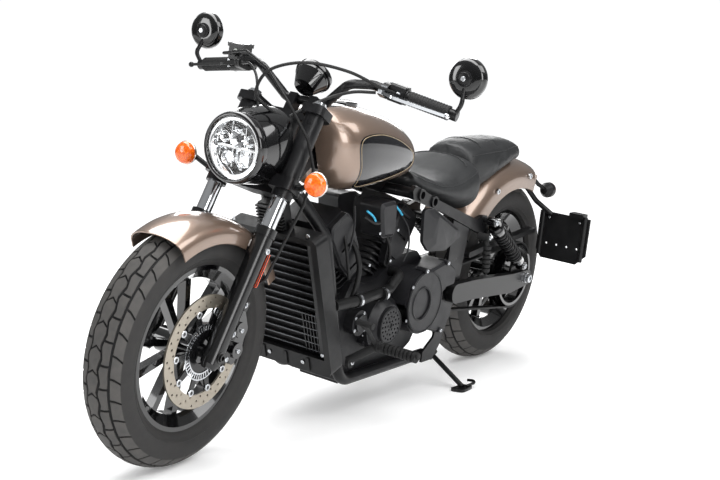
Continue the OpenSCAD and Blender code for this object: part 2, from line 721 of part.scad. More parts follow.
module swingarm() {
    color("#161618") parked() {
        y_pin(pivot_at, -arm_y, arm_y, pivot_r);
        side_slab([[-400, 352], [-434, 352], [-434, 304], [-400, 304]], -arm_y, arm_y);
        for (side = [0, 1]) mirror([0, side, 0]) difference() {
            union() {
                side_slab(rounded([[-292, 362, 30], [-440, 360, 20], [-690, 346, 16], [-826, 346, 18], [-826, 296, 18],
                    [-690, 280, 16], [-440, 296, 20], [-292, 298, 30]]), arm_y, arm_y + arm_t);
                side_slab(rounded([[-708, 330, 4], [-720, 388, 10], [-756, 388, 10], [-772, 330, 4]]), arm_y, arm_y + 8);
                y_pin(shock_low, arm_y + 7, shock_y - shock_eye_half, 8);
            }
            y_pin(rear_axle_at, 0, 300, axle_r);
        }
        y_pin(rear_axle_at, -178, 180, axle_r);
        for (side = [-1, 1]) y_pin(rear_axle_at, side > 0 ? 166 : -176, side > 0 ? 176 : -166, 17);
        y_pin(rear_axle_at, belt_y + belt_w + 4 + side_run, arm_y, 17);
        y_pin(rear_axle_at, -arm_y, rear_disc_y + disc_t - side_run, 17);
        // Rear brake caliper, over the disc's front
        difference() {
            side_slab(rounded([[-640, 326, 8], [-640, 410, 12], [-700, 452, 12], [-728, 430, 8], [-690, 326, 8]]), -arm_y, -84);
            y_pin(rear_axle_at, rear_disc_y - 6, rear_disc_y + disc_t + 6, disc_r + 6);
        }
    }
}

module shocks() {
    axis = unit(shock_low - shock_top);
    span = norm(shock_low - shock_top);
    coil_from = 66;
    coil_count = 10;
    coil_pitch = (span - coil_from - 62) / coil_count;
    color("#141416") parked() both_sides() {
        rod(shock_top + axis * 24, shock_top + axis * 62, 26);
        rod(shock_low - axis * 66, shock_low - axis * 24, 20);
        rod(shock_top, shock_low, 9);
        for (at = [shock_top, shock_low]) y_pin(at, shock_y - shock_eye_half, shock_y + shock_eye_half, 15);
        for (i = [0:coil_count - 1]) rod(shock_top + axis * (coil_from + i * coil_pitch),
            shock_top + axis * (coil_from + 7 + i * coil_pitch), 27);
        rod(shock_top + axis * 60, shock_low - axis * 40, 21);
    }
}

// Outline of the belt's loop: an arc round each pulley, joined by the two tangents
function belt_outline(extra, step = 5) =
    let (d = [rear_axle_at.x - pulley_at.x, rear_axle_at.z - pulley_at.z], heading = atan2(d.y, d.x),
        spread = acos((front_pulley_r - rear_pulley_r) / norm(d)),
        around = function (at, r, from, to) let (n = ceil((to - from) / step))
            [for (i = [0:n]) let (a = from + (to - from) * i / n) [at.x + r * cos(a), at.z + r * sin(a)]])
    concat(around(rear_axle_at, rear_pulley_r + extra, heading - spread, heading + spread),
        around(pulley_at, front_pulley_r + extra, heading + spread, heading + 360 - spread));

module drive_belt() {
    color("#1a1a1c") parked() {
        difference() {
            side_slab(belt_outline(belt_t), belt_y, belt_y + belt_w);
            side_slab(belt_outline(seat_gap), belt_y - 1, belt_y + belt_w + 1);
        }
        difference() {
            y_pin(pulley_at, case_half_w, belt_y + belt_w + 4, front_pulley_r);
            for (i = [0:5]) y_pin(pulley_at + 28 * [cos(i * 60), 0, sin(i * 60)], belt_y + 10, 140, 8);
        }
    }
}

module belt_guard() {
    color("#151517") parked() side_slab(rounded([[-448, 440, 8], [-600, 458, 8], [-760, 464, 10], [-906, 478, 4],
        [-912, 462, 4], [-760, 448, 10], [-600, 440, 8], [-448, 420, 8]]), 92, 122);
}

// Controls for the feet
module foot_peg(at) {
    rod(at, at + [0, 136, 6], 9);
    for (i = [0:8]) rod(at + [0, 16 + i * 13, 1], at + [0, 25 + i * 13, 1], 16);
}

module foot_controls() {
    color("#1a1a1c") parked() both_sides() {
        rod([206, 130, 200], [176, 196, 250], 12);
        y_pin([200, 0, 196], 129, 140, 18);
        foot_peg([165, 204, 252]);
        y_pin([165, 0, 252], 186, 206, 17);
        bent_tube([[176, 196, 262], [240, 214, 312], [296, 216, 350]], 6, 30);
        rod([296, 208, 350], [296, 262, 348], 9);
    }
}

module passenger_pegs() {
    color("#17171a") parked() both_sides() {
        rod([-470, 166, 488], [-484, 172, 380], 9);
        for (i = [0:5]) rod([-471 - i * 1.6, 172, 470 - i * 15], [-472 - i * 1.6, 172, 460 - i * 15], 13);
        y_pin([-468, 0, 498], 138, 178, 12);
    }
}

module plate_holder() {
    plate_x = -1006;
    plate_y = 186;
    plate_t = 6;
    post_r = 8;
    color("#161618") parked() {
        translate([plate_x, plate_y, 444]) rotate([90, 0, 90]) difference() {
            linear_extrude(plate_t) polygon([[-98, 84], [98, 84], [98, -50], [62, -86], [-76, -86], [-98, -56]]);
            for (i = [0:3]) translate([-60 + i * 40, -30, -1]) cylinder(h = plate_t + 2, r = 4);
        }
        for (dy = [-82, 82]) rod([plate_x + plate_t + post_r - 2, plate_y + dy, 372],
            [plate_x + plate_t + post_r - 2, plate_y + dy, 534], post_r);
        side_slab([[-1022, 527], [-984, 527], [-984, 542], [-1022, 542]], 208, 262);
        y_pin(tail_bar, -tail_bar_half, tail_bar_half, tail_bar_r);
        bent_tube([[-904, 30, 650], [-950, 40, 612], [-984, 72, 560], [-998, 134, 520]], 9, 20);
    }
}

module rear_signals() {
    color("#1c1c1e") parked() both_sides() difference() {
        union() {
            bent_tube([[-902, 84, 656], [-934, 96, 628], [-972, 110, 608]], 7, 16);
            rod([-956, 110, 606], [-980, 110, 606], 13, 27);
            rod([-979.5, 110, 606], [-998, 110, 606], 27);
            rod([-997.5, 110, 606], [-1008, 110, 606], 26, 19);
        }
        y_pin(tail_bar, 0, 200, tail_bar_r + seat_gap);
    }
}

// Side stand: one leg, swung forward onto its stop
function ground_z(y) = y * tan(lean) - ground_lift / cos(lean);
foot_z = ground_z(stand_foot.y);
module stand_disc(from, to, r) {
    a = unit(stand_axis);
    rod(stand_at + a * from, stand_at + a * to, r);
}

module stand_bracket() {
    half = stand_eye_t / 2 + seat_gap;
    difference() {
        union() {
            rod([-240, 112, 134], stand_at + [22, 8, 4], 15);
            stand_disc(-half - 6, half + 6, 21);
        }
        stand_disc(-half, half, 26);
    }
    stand_disc(-half - 10, half + 10, stand_pin_r);
}

module side_stand() {
    leg_end = [stand_foot.x, stand_foot.y, foot_z + 10];
    toward = unit(leg_end - stand_at);
    color("#1a1a1c") parked() {
        difference() {
            union() {
                stand_disc(-stand_eye_t / 2, stand_eye_t / 2, 19);
                rod(stand_at + toward * 14, leg_end, 8);
            }
            stand_disc(-40, 40, stand_pin_r + run_gap);
        }
        // Foot plate, flat on the ground under the leaned machine
        translate([stand_foot.x, stand_foot.y, foot_z]) rotate([lean, 0, 0]) linear_extrude(9)
            polygon(rounded([[-34, -20, 10], [38, -26, 14], [38, 26, 14], [-34, 20, 10]]));
        // Toe loop
        bent_tube([[stand_foot.x - 10, stand_foot.y + 8, foot_z + 12], [stand_foot.x - 52, stand_foot.y + 26, foot_z + 24],
            [stand_foot.x - 46, stand_foot.y - 10, foot_z + 20]], 4.5, 12);
    }
}

// Steering group
// The two clamps' outlines, grown by a clearance
module clamp_blocks(extra) {
    outer_y = fork_y + 34 + extra;
    inner_y = fork_y - 33 - extra;
    lobe_x = fork_offset + 34 + extra;
    outline = [[-34, -40, 14], [20, -outer_y, 20], [lobe_x, -outer_y, 20], [lobe_x, -inner_y, 10], [8, -inner_y + 6, 6],
        [8, inner_y - 6, 6], [lobe_x, inner_y, 10], [lobe_x, outer_y, 20], [20, outer_y, 20], [-34, 40, 14]];
    translate([0, 0, clamp_low_z - 12 - extra]) linear_extrude(34 + 2 * extra) polygon(rounded(outline));
    translate([0, 0, clamp_top_z - extra]) linear_extrude(24 + 2 * extra) polygon(rounded(outline));
}

module triple_clamps() {
    stem_r = 15;
    color("#131316") steered() fork_frame() {
        difference() {
            union() {
                clamp_blocks(0);
                for (side = [-1, 1]) {
                    // Sleeve round the fork tube between the clamps
                    translate([fork_offset, side * fork_y, clamp_low_z]) cylinder(h = clamp_top_z - clamp_low_z, r = 27);
                    // Short collar under the lower clamp
                    translate([fork_offset, side * fork_y, clamp_low_z - 34]) cylinder(h = 30, r = 28);
                    // Riser under the handlebar
                    translate([-44, side * 32 - 12, clamp_top_z + 20]) cube([34, 24, 62]);
                }
            }
            for (side = [-1, 1]) translate([fork_offset, side * fork_y, 400]) cylinder(h = 400, r = fork_tube_r + run_gap);
            bar_cut();
        }
        translate([0, 0, clamp_low_z + 20]) cylinder(h = clamp_top_z - clamp_low_z - 19, r = stem_r);
    }
}

// Back from the fork's frame to the upright one
module upright_frame() {
    rotate([0, rake, 0]) translate(-steer_at) children();
}

module bar_cut() {
    upright_frame() rod([bar_path[0].x, -70, bar_path[0].z], [bar_path[0].x, 70, bar_path[0].z], bar_r + seat_gap);
}

module fork_leg() {
    rod([fork_offset, fork_y, 300], [fork_offset, fork_y, clamp_top_z + 34], fork_tube_r);
    rod([fork_offset, fork_y, clamp_top_z + 33], [fork_offset, fork_y, clamp_top_z + 40], fork_tube_r - 4);
    rod([fork_offset, fork_y, -24], [fork_offset, fork_y, 346], fork_leg_r);
    rod([fork_offset, fork_y, 326], [fork_offset, fork_y, 350], fork_leg_r + 3);
    rod([fork_offset, fork_y, -23], [fork_offset, fork_y, -36], fork_leg_r - 1, fork_leg_r - 8);
    // Lugs for the caliper behind the leg, and for the mudguard inside it
    for (z = [70, 150]) translate([fork_offset - 50, fork_y - 8, z - 12]) cube([40, 16, 24]);
    translate([fork_offset - 12, front_guard_half_w + seat_gap, 258]) cube([24, fork_y - front_guard_half_w - 6, 40]);
}

// Pinch lug behind the axle at the foot of a leg
module axle_boss() {
    translate(front_axle) side_slab(rounded([[-50, -26, 9], [-54, -4, 9], [-10, 22, 8], [6, -20, 8]]), fork_y - 13, fork_y + 13);
}

module fork_left() {
    color("#b9bbc0") steered() difference() {
        union() {
            fork_frame() fork_leg();
            axle_boss();
            y_pin(front_axle, -axle_reach, axle_reach, axle_r);
            y_pin(front_axle, front_disc_y + side_run, fork_y - 18, 15);
            y_pin(front_axle, fork_y + 19, fork_y + 27, 16);
        }
        y_pin(front_axle, -axle_reach - 1, axle_reach + 1, axle_bore_r);
    }
}

module fork_right() {
    color("#b9bbc0") steered() difference() {
        union() {
            fork_frame() mirror([0, 1, 0]) fork_leg();
            mirror([0, 1, 0]) axle_boss();
            y_pin(front_axle, -fork_y + 18, -62 - side_run, 15);
        }
        y_pin(front_axle, -150, 0, axle_r + seat_gap);
    }
}

module handlebar() {
    right = [for (i = [4:-1:1]) flip(bar_path[i])];
    left = [for (i = [1:4]) bar_path[i]];
    color("#17171a") steered() bent_tube(concat(right, left), bar_r, bar_bend);
}

module bar_grip(a, b) {
    d = unit(b - a);
    span = norm(b - a);
    difference() {
        union() {
            rod(a, b, 17);
            for (i = [0:9]) rod(a + d * (8 + i * (span - 16) / 10), a + d * (14 + i * (span - 16) / 10), 18.5);
            rod(a - d * 4, a, 22);
        }
        rod(a - d * 10, b + d * 10, bar_r + run_gap);
    }
}

// Places things along a grip: X ahead of the bar, Y down, Z out to its end, from a distance in from the end
module along_bar(inward) {
    s = unit(bar_path[4] - bar_path[3]);
    w = unit([1, 0, 0] - s * s.x);
    t = cross(w, s);
    o = bar_path[4] - s * inward;
    multmatrix([[w.x, -t.x, s.x, o.x], [w.y, -t.y, s.y, o.y], [w.z, -t.z, s.z, o.z]]) children();
}

module hand_controls() {
    grip_len = 122;
    color("#1c1c1e") steered() both_sides() {
        bar_grip(bar_path[4] - unit(bar_path[4] - bar_path[3]) * grip_len,
            bar_path[4] - unit(bar_path[4] - bar_path[3]) * 2);
        // Switch housing, then the lever's clamp and pivot
        difference() {
            union() {
                along_bar(grip_len + 46) linear_extrude(41) polygon(rounded([[-24, -24, 10], [26, -28, 8], [28, 20, 8], [-24, 22, 12]]));
                along_bar(grip_len + 68) linear_extrude(18) polygon(rounded([[-20, -20, 10], [20, -20, 6], [50, -9, 6], [50, 9, 6],
                    [20, 20, 6], [-20, 20, 10]]));
            }
            along_bar(grip_len + 80) cylinder(h = 100, r = bar_r + run_gap);
        }
        // Lever blade, clear of the pivot block by its slot
        along_bar(grip_len) translate([0, 4, 0]) rotate([90, 0, 0]) linear_extrude(8) polygon(rounded([
            [34, -56, 8], [54, -58, 8], [72, -20, 30], [68, 40, 60], [54, 132, 4], [44, 132, 4], [50, 40, 60],
            [42, -30, 12]]));
    }
    // Brake reservoir on the right
    color("#1c1c1e") steered() difference() {
        union() {
            translate([292, -288, 996]) cube([42, 50, 42]);
            translate([289, -291, 1037]) cube([48, 56, 9]);
            rod([320, -263, 1020], [346, -263, 1020], 9);
        }
        mirror([0, 1, 0]) {
            along_bar(grip_len + 46 + seat_gap) translate([0, 0, -seat_gap]) linear_extrude(41 + 2 * seat_gap)
                polygon(rounded([[-24.3, -24.3, 10], [26.3, -28.3, 8], [28.3, 20.3, 8], [-24.3, 22.3, 12]]));
            along_bar(grip_len + 68 + seat_gap) linear_extrude(18 + 2 * seat_gap) polygon(rounded([[-20.3, -20.3, 10],
                [20.3, -20.3, 6], [50.3, -9.3, 6], [50.3, 9.3, 6], [20.3, 20.3, 6], [-20.3, 20.3, 10]]));
            along_bar(grip_len + 80) cylinder(h = 200, r = 22);
        }
    }
}

module mirrors() {
    color("#151517") steered() both_sides() {
        difference() {
            rod(bar_end, bar_end + unit(bar_path[4] - bar_path[3]) * 22, 15);
            rod(bar_path[3], bar_path[4], bar_r + run_gap);
        }
        bent_tube([bar_end + [0, 14, -4], bar_end + [8, 34, 30], mirror_at + [12, 0, -mirror_r + 26]], 6, 20);
        rod(mirror_at + [-6, 0, 0], mirror_at + [14, 0, 2], mirror_r, mirror_r - 6);
    }
}

module gauge() {
    face = [322, 0, 1001];
    up = unit([-0.78, 0, 0.62]);
    color("#151517") steered() difference() {
        union() {
            rod(face - up * 56, face - up * 16, 30, 49);
            rod(face - up * 16.5, face, 50);
            rod(face - up * 7, face + up * 5, 53);
        }
        rod([bar_path[0].x, -70, bar_path[0].z], [bar_path[0].x, 70, bar_path[0].z], bar_r + seat_gap);
        rod(face - up * 2, face + up * 6, 46);
    }
}

module headlight_shell() {
    aim = [1, 0, 0];
    color("#131316") steered() difference() {
        union() {
            section_loft(shell_rows);
            rod(lamp_at - aim * 19, lamp_at - aim * 2, lamp_r + 8, lamp_r + 6);
            for (side = [-1, 1]) rod([500, side * 88, 818], [566, side * 74, 818], 9);
        }
        rod(lamp_at - aim * 70, lamp_at + aim * 10, lamp_r - 2);
        fork_frame() {
            for (side = [-1, 1]) translate([fork_offset, side * fork_y, 400]) cylinder(h = 400, r = 27 + seat_gap);
            clamp_blocks(seat_gap);
            cylinder(h = 800, r = 34);
        }
    }
}

module headlight() {
    aim = [1, 0, 0];
    dish = lamp_r - 16;
    color("#d8dade") steered() {
        difference() {
            rod(lamp_at - aim * 69.7, lamp_at + aim * 4, lamp_r - 2 - seat_gap);
            rod(lamp_at - aim * 46, lamp_at + aim * 5, dish - 22, dish);
        }
        // Shelf between the upper and the lower dish
        translate(lamp_at - [48, dish - 4, 5]) cube([34, 2 * dish - 8, 7]);
        for (y = [-26, 26]) rod(lamp_at + [-48, y, -30], lamp_at + [-18, y, -30], 9, 17);
    }
}

module front_signals() {
    color("#e0641c") steered() both_sides() {
        bent_tube([[553, fork_y + 34 + seat_gap, 735], [553, 152, 735], [566, 190, 757]], 7, 8);
        rod([556, 210, 760], [572, 210, 760], 20, 31);
        rod([572, 210, 760], [590, 210, 760], 31, 24);
        fork_frame() translate([fork_offset, fork_y, 200]) rotate([0, 0, 135])
            translate([fork_leg_r + seat_gap, -7, 0]) cube([5, 14, 90]);
    }
}

module front_caliper() {
    color("#17171a") steered() difference() {
        union() {
            translate(front_axle) side_slab(rounded([[-96, -62, 12], [-150, 40, 14], [-122, 112, 14], [-84, 116, 12],
                [-44, 40, 10]]), 54, 96);
            for (z = [-14, 40]) translate(front_axle) y_pin([-100 - z * 0.12, 0, z + 6], 94, 108, 21);
        }
        y_pin(front_axle, 62.5, 79.5, disc_r + 5);
        fork_frame() {
            rod([fork_offset, fork_y, -60], [fork_offset, fork_y, 400], fork_leg_r + seat_gap);
            for (z = [70, 150]) translate([fork_offset - 50 - seat_gap, fork_y - 8 - seat_gap, z - 12 - seat_gap])
                cube([80, 16 + 2 * seat_gap, 24 + 2 * seat_gap]);
        }
        y_pin(front_axle, 0, 140, 34);
    }
}

module brake_hose() {
    color("#141416") steered() bent_tube([[346 + seat_gap, -263, 1020], [396, -263, 1020], [440, -150, 1044], [520, -20, 1020],
        [566, 90, 950], [540, 148, 860], [506, 154, 780], [530, 152, 690], [568, 132, 590], [626, 128, 500],
        [648, 98, 468], [664, 86, 437]], 4, 22);
}

frame_spine();
cradle_left();
cradle_right();
radiator();
radiator_shroud();
crankcase();
front_cylinder();
rear_cylinder();
engine_covers();
pulley_cover();
side_covers();
coolant_hose();
exhaust();
fuel_tank();
seat();
pillion_pad();
rear_fender();
swingarm();
shocks();
drive_belt();
belt_guard();
foot_controls();
passenger_pegs();
plate_holder();
rear_signals();
triple_clamps();
fork_left();
fork_right();
handlebar();
hand_controls();
mirrors();
gauge();
headlight_shell();
headlight();
front_signals();
front_fender();
front_caliper();
brake_hose();
front_rim();
front_tyre();
front_disc();
rear_rim();
rear_tyre();
rear_disc();
side_stand();
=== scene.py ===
# %% [markdown]
# # Dressing a bobber motorcycle
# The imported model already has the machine's solids, each on its body. This lesson gives them their finishes,
# and puts the parts on top that a solid modeller leaves out: tyre tread, a crowned and stitched seat, the tank's
# smooth skin and its black panels, lamp glass, screws and cables. Everything is in metres, in the model's frame.

# %% Load the frame
import math
import bpy
import numpy as np
from mathutils import Matrix, Vector
from mathutils.bvhtree import BVHTree


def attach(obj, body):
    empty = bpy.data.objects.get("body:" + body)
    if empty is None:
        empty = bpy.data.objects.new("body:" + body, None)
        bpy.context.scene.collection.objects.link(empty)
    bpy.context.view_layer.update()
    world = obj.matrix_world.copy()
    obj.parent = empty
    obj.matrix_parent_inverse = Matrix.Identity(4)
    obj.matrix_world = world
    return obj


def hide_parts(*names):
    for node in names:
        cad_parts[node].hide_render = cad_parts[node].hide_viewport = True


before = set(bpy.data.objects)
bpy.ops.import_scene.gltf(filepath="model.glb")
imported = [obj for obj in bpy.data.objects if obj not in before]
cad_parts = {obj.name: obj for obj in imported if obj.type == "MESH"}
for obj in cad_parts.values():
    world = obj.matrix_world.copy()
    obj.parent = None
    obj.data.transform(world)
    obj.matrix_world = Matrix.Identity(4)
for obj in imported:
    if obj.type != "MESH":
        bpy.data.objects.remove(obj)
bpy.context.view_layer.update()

# %% [markdown]
# ## The machine's own axes
# A motorcycle is easiest to describe standing upright with its wheel straight. The real one leans on its side
# stand with the bars turned a little, so two functions carry points from that upright drawing, in millimetres,
# to their parked place in metres. One is for what is fixed to the frame, and the other for what steers.

# %% Parked and steered places
LEAN = math.radians(7.7)
STEER = math.radians(4)
RAKE = math.radians(29)
FRONT_TYRE_R, FRONT_TYRE_W = 320.0, 129.0
REAR_TYRE_R, REAR_TYRE_W = 323.0, 151.0
LIFT = (1 - math.cos(LEAN)) * FRONT_TYRE_W / 2
SIDE_SHIFT = 1061 * math.sin(LEAN)
FRONT_AXLE = np.array([781.0, 0, FRONT_TYRE_R])
REAR_AXLE = np.array([-781.0, 0, REAR_TYRE_R])
FORK_OFFSET = FRONT_TYRE_R * math.sin(RAKE) - 120 * math.cos(RAKE)
STEER_AT = FRONT_AXLE - FORK_OFFSET * np.array([math.cos(RAKE), 0, math.sin(RAKE)])


def turn(axis, angle):
    """Rotation matrix about X, Y or Z by an angle in radians."""
    return np.array(Matrix.Rotation(angle, 3, axis))


LEANED = turn("X", -LEAN)
FORK = turn("Y", -RAKE)
STEERED = FORK @ turn("Z", STEER) @ FORK.T


def parked(p):
    """row = (lean * p + lift - side shift) / 1000, for points p in the upright drawing in mm."""
    return (np.asarray(p, float) @ LEANED.T + [0, -SIDE_SHIFT, LIFT]) / 1000


def steered(p):
    """The same, after turning p about the steering axis."""
    return parked((np.asarray(p, float) - STEER_AT) @ STEERED.T + STEER_AT)


def forked(p):
    """From the fork's own frame, Z up the steering axis, to the parked place."""
    return steered(np.asarray(p, float) @ FORK.T + STEER_AT)


print("front axle in the row frame", np.round(steered(FRONT_AXLE), 4))

# %% Along the grips
BAR_END, BAR_BEND = np.array([281.0, 404, 966]), np.array([318.0, 186, 1005])
ALONG = (BAR_END - BAR_BEND) / np.linalg.norm(BAR_END - BAR_BEND)
FACING = np.array([1.0, 0, 0]) - ALONG * ALONG[0]
FACING /= np.linalg.norm(FACING)
BAR_AXES = np.array([FACING, -np.cross(FACING, ALONG), ALONG])
GRIP_LENGTH = 122.0


def on_bar(sign, inward=0.0):
    """A mover for points along a grip: X ahead, Y down, Z outwards from a place inward mm from its end."""
    def to_row(p):
        return steered((np.asarray(p, float) @ BAR_AXES + BAR_END - ALONG * inward) * [1, sign, 1])
    return to_row


left_bar = on_bar(1, GRIP_LENGTH)

# %% [markdown]
# ## Camera, floor and light
# The photograph was taken from the front left, a little above the axles, with a medium telephoto lens. The
# camera is set from its bearing and height. A white floor, a dim dome and five soft lamps stand in for the photo
# studio, because gloss black shows only what it reflects.

# %% Camera
CAMERA_AT = Vector((3.096, 2.06884, 0.976))
BEARING, HEIGHT_ANGLE, ROLL = (math.radians(a) for a in (34.82, 7.18, -0.24))
FOCAL_PX, PICTURE_W = 1262.0, 720.0
back = Vector((math.cos(BEARING) * math.cos(HEIGHT_ANGLE), math.sin(BEARING) * math.cos(HEIGHT_ANGLE),
               math.sin(HEIGHT_ANGLE)))
across = Vector((0, 0, 1)).cross(back).normalized()
up = back.cross(across)
right = across * math.cos(ROLL) + up * math.sin(ROLL)
top = up * math.cos(ROLL) - across * math.sin(ROLL)
lens = bpy.data.cameras.new("camera")
lens.sensor_width = 36.0
lens.lens = FOCAL_PX / PICTURE_W * lens.sensor_width
lens.clip_end = 100
camera = bpy.data.objects.new("camera", lens)
camera.matrix_world = Matrix((
    (right.x, top.x, back.x, CAMERA_AT.x), (right.y, top.y, back.y, CAMERA_AT.y),
    (right.z, top.z, back.z, CAMERA_AT.z), (0, 0, 0, 1)))
bpy.context.scene.collection.objects.link(camera)
bpy.context.scene.camera = camera
print("lens", round(lens.lens, 1), "mm")


# %% Nodes and colours
def linear(code):
    """sRGB hex to linear RGBA: c / 12.92 below 0.04045, else ((c + 0.055) / 1.055) ** 2.4."""
    c = np.array([int(code[i:i + 2], 16) / 255 for i in (1, 3, 5)])
    c = np.where(c < 0.04045, c / 12.92, ((c + 0.055) / 1.055) ** 2.4)
    return (*c.tolist(), 1.0)


def feed(tree, node, feeds):
    """Sets a node's inputs. A value that is a socket is linked, and any other is the input's own."""
    for key, value in feeds.items():
        if isinstance(value, bpy.types.NodeSocket):
            tree.links.new(value, node.inputs[key])
        else:
            node.inputs[key].default_value = value


def add(tree, kind, feeds=None, **settings):
    """Adds one shader node with its settings and inputs."""
    made = tree.nodes.new("ShaderNode" + kind)
    for key, value in settings.items():
        setattr(made, key, value)
    feed(tree, made, feeds or {})
    return made


def mix(tree, factor, first, second):
    """A colour between two, each a hex code or a socket."""
    first, second = (linear(c) if isinstance(c, str) else c for c in (first, second))
    return add(tree, "Mix", {0: factor, 6: first, 7: second}, data_type="RGBA").outputs[2]


def noise(tree, place, scale, detail):
    """Noise from 0 to 1, with so many waves to the metre."""
    return add(tree, "TexNoise", {"Vector": place, "Scale": scale, "Detail": detail}).outputs["Fac"]


def ramp(tree, value, low, high, start_at=0.0, end_at=1.0):
    """low + (high - low) (value - start_at) / (end_at - start_at), held at both ends."""
    return add(tree, "MapRange", {"Value": value, "From Min": start_at, "From Max": end_at, "To Min": low,
                                  "To Max": high}).outputs["Result"]


def bump(tree, height, depth, strength=1.0, invert=False):
    """A normal tilted by a height of so many metres."""
    feeds = {"Height": height, "Distance": depth, "Strength": strength}
    return add(tree, "Bump", feeds, invert=invert).outputs["Normal"]


def calc(tree, operation, first, second=0.5, clamp=False):
    """One step of arithmetic between sockets or numbers."""
    return add(tree, "Math", {0: first, 1: second}, operation=operation, use_clamp=clamp).outputs[0]


# %% World, floor and lamps
scene = bpy.context.scene
scene.view_settings.view_transform = "Standard"
world = bpy.data.worlds.new("studio")
scene.world = world
world.use_nodes = True
# The room is seen white, while what lights the machine and shows in its gloss is a dimmer dome with a bright top
tree = world.node_tree
height = add(tree, "SeparateXYZ", {"Vector": add(tree, "TexCoord").outputs["Generated"]}).outputs["Z"]
seen = add(tree, "LightPath").outputs["Is Camera Ray"]
strength = add(tree, "Mix", {0: seen, 2: ramp(tree, height, 0.1, 0.46, -0.1, 0.9), 3: 1.04}).outputs[0]
feed(tree, tree.nodes["Background"], {"Color": linear("#fdfeff"), "Strength": strength})


def lamp(name, at, towards, size, power):
    """A square soft lamp that faces a point."""
    data = bpy.data.lights.new(name, "AREA")
    data.shape = "RECTANGLE"
    data.size, data.size_y = size
    data.energy = power
    made = bpy.data.objects.new(name, data)
    made.location = at
    made.rotation_euler = (Vector(towards) - Vector(at)).to_track_quat("-Z", "Y").to_euler()
    scene.collection.objects.link(made)


lamp("overhead", (0.3, -0.2, 3.2), (0, 0, 0.4), (4.2, 1.4), 120)
lamp("left_high", (0.2, 2.6, 3.0), (0, 0, 0.6), (3.8, 1.7), 95)
lamp("front_left", (2.2, 3.8, 1.5), (0, 0, 0.5), (1.2, 1.8), 50)
lamp("front_right", (3.4, -2.2, 1.6), (0.2, 0, 0.5), (1.0, 1.6), 34)
lamp("behind", (-3.0, -2.2, 2.0), (0, 0, 0.5), (2.4, 1.4), 55)

HALF_FLOOR, FLOOR_Z = 14.0, -0.0006
floor_mesh = bpy.data.meshes.new("floor")
corners = [(HALF_FLOOR * x, HALF_FLOOR * y, 0) for x, y in ((-1, -1), (1, -1), (1, 1), (-1, 1))]
floor_mesh.from_pydata(corners, [], [(0, 1, 2, 3)])
floor = bpy.data.objects.new("floor", floor_mesh)
scene.collection.objects.link(floor)
floor.location.z = FLOOR_Z
floor_paint = bpy.data.materials.new("floor_paint")
floor_paint.use_nodes = True
tree = floor_paint.node_tree
place = add(tree, "TexCoord").outputs["Object"]
# The floor glows more the farther it is from the machine, so that no horizon shows
apart = add(tree, "VectorMath", {0: place}, operation="LENGTH").outputs["Value"]
feed(tree, tree.nodes["Principled BSDF"], {
    "Base Color": mix(tree, noise(tree, place, 1.4, 5.0), "#f4f4f4", "#fafafa"), "Roughness": 0.55,
    "Emission Color": linear("#ffffff"), "Emission Strength": ramp(tree, apart, 0.16, 0.86, 1.2, 4.5)})
floor_mesh.materials.append(floor_paint)

# %% [markdown]
# ## Finishes
# Nearly everything on this machine is black, so the finishes differ by how they scatter light. Powder coat has
# orange peel, cast covers have a sand grain, moulded plastic a fine texture, and the lacquered parts mirror the
# room. Each finish is one recipe: an even colour broken by a slow mottle, a roughness that wanders a little,
# and a relief whose grain is given in millimetres of the real surface.

# %% The common recipe
COAT_ROUGH = 0.03


def start(name):
    """A new material: its node tree, its shader and its Object coordinates."""
    made = bpy.data.materials.new(name)
    made.use_nodes = True
    tree = made.node_tree
    return made, tree, tree.nodes["Principled BSDF"], add(tree, "TexCoord").outputs["Object"]


def finish(name, colour, second, rough, spread=0.08, metal=0.0, grain=0.8, relief=0.02, mottle=40.0,
           coat=0.0):
    """Colour between two hexes over a mottle of some mm, roughness rough +- spread, and a relief: a bump whose
    depth is relief mm on a noise with a grain of so many mm."""
    made, tree, shader, place = start(name)
    slow = noise(tree, place, 1000 / mottle, 4.0)
    fine = noise(tree, place, 1000 / grain, 2.0)
    feed(tree, shader, {
        "Base Color": mix(tree, slow, colour, second), "Normal": bump(tree, fine, relief / 1000),
        "Roughness": ramp(tree, slow, max(0.02, rough - spread), rough + spread, 0.3, 0.7),
        "Metallic": metal, "Specular IOR Level": 0.5 if metal else 0.28,
        "Coat Weight": coat, "Coat Roughness": COAT_ROUGH})
    return made


# Powder-coated steel: a low sheen with slow orange peel
powder_coat = finish("powder_coated_steel", "#0c0c0d", "#121214", 0.34, grain=2.2, relief=0.05)
# Painted aluminium casting: sand grain, nearly matt
cast_black = finish("painted_aluminium_casting", "#121214", "#19191b", 0.46, grain=0.9, relief=0.09)
# Satin cover paint, smoother and greyer than the castings
cover_satin = finish("satin_painted_cover", "#19191b", "#202022", 0.4, grain=0.7, relief=0.04)
# Moulded ABS: even, finely textured
moulded_abs = finish("moulded_abs", "#0d0d0e", "#121213", 0.42, grain=0.5, relief=0.04)
# Lacquered black: a mirror under clear coat
lacquer_black = finish("lacquered_black", "#040405", "#060607", 0.16, 0.03, grain=3.0, relief=0.006, coat=1.0)
# Ceramic exhaust coating, matt
ceramic_black = finish("ceramic_exhaust_coating", "#131314", "#1c1b1b", 0.5, grain=1.1, relief=0.05)
# Cable and hose rubber
hose_rubber = finish("hose_rubber", "#0c0c0d", "#131313", 0.5, grain=0.8, relief=0.03)
# Ribbed grip and peg rubber, matt
grip_rubber = finish("grip_rubber", "#19191a", "#212121", 0.68, grain=0.7, relief=0.06)
# Zinc-plated screws and nuts
zinc_plate = finish("zinc_plated_screw", "#b9bcc0", "#d0d2d4", 0.26, metal=1.0, relief=0.03, mottle=6)
# Die-cast aluminium, clear lacquered, on levers and the wheel-speed ring
lever_alloy = finish("polished_lever_alloy", "#c3c6ca", "#d5d7da", 0.2, metal=1.0, grain=1.6)
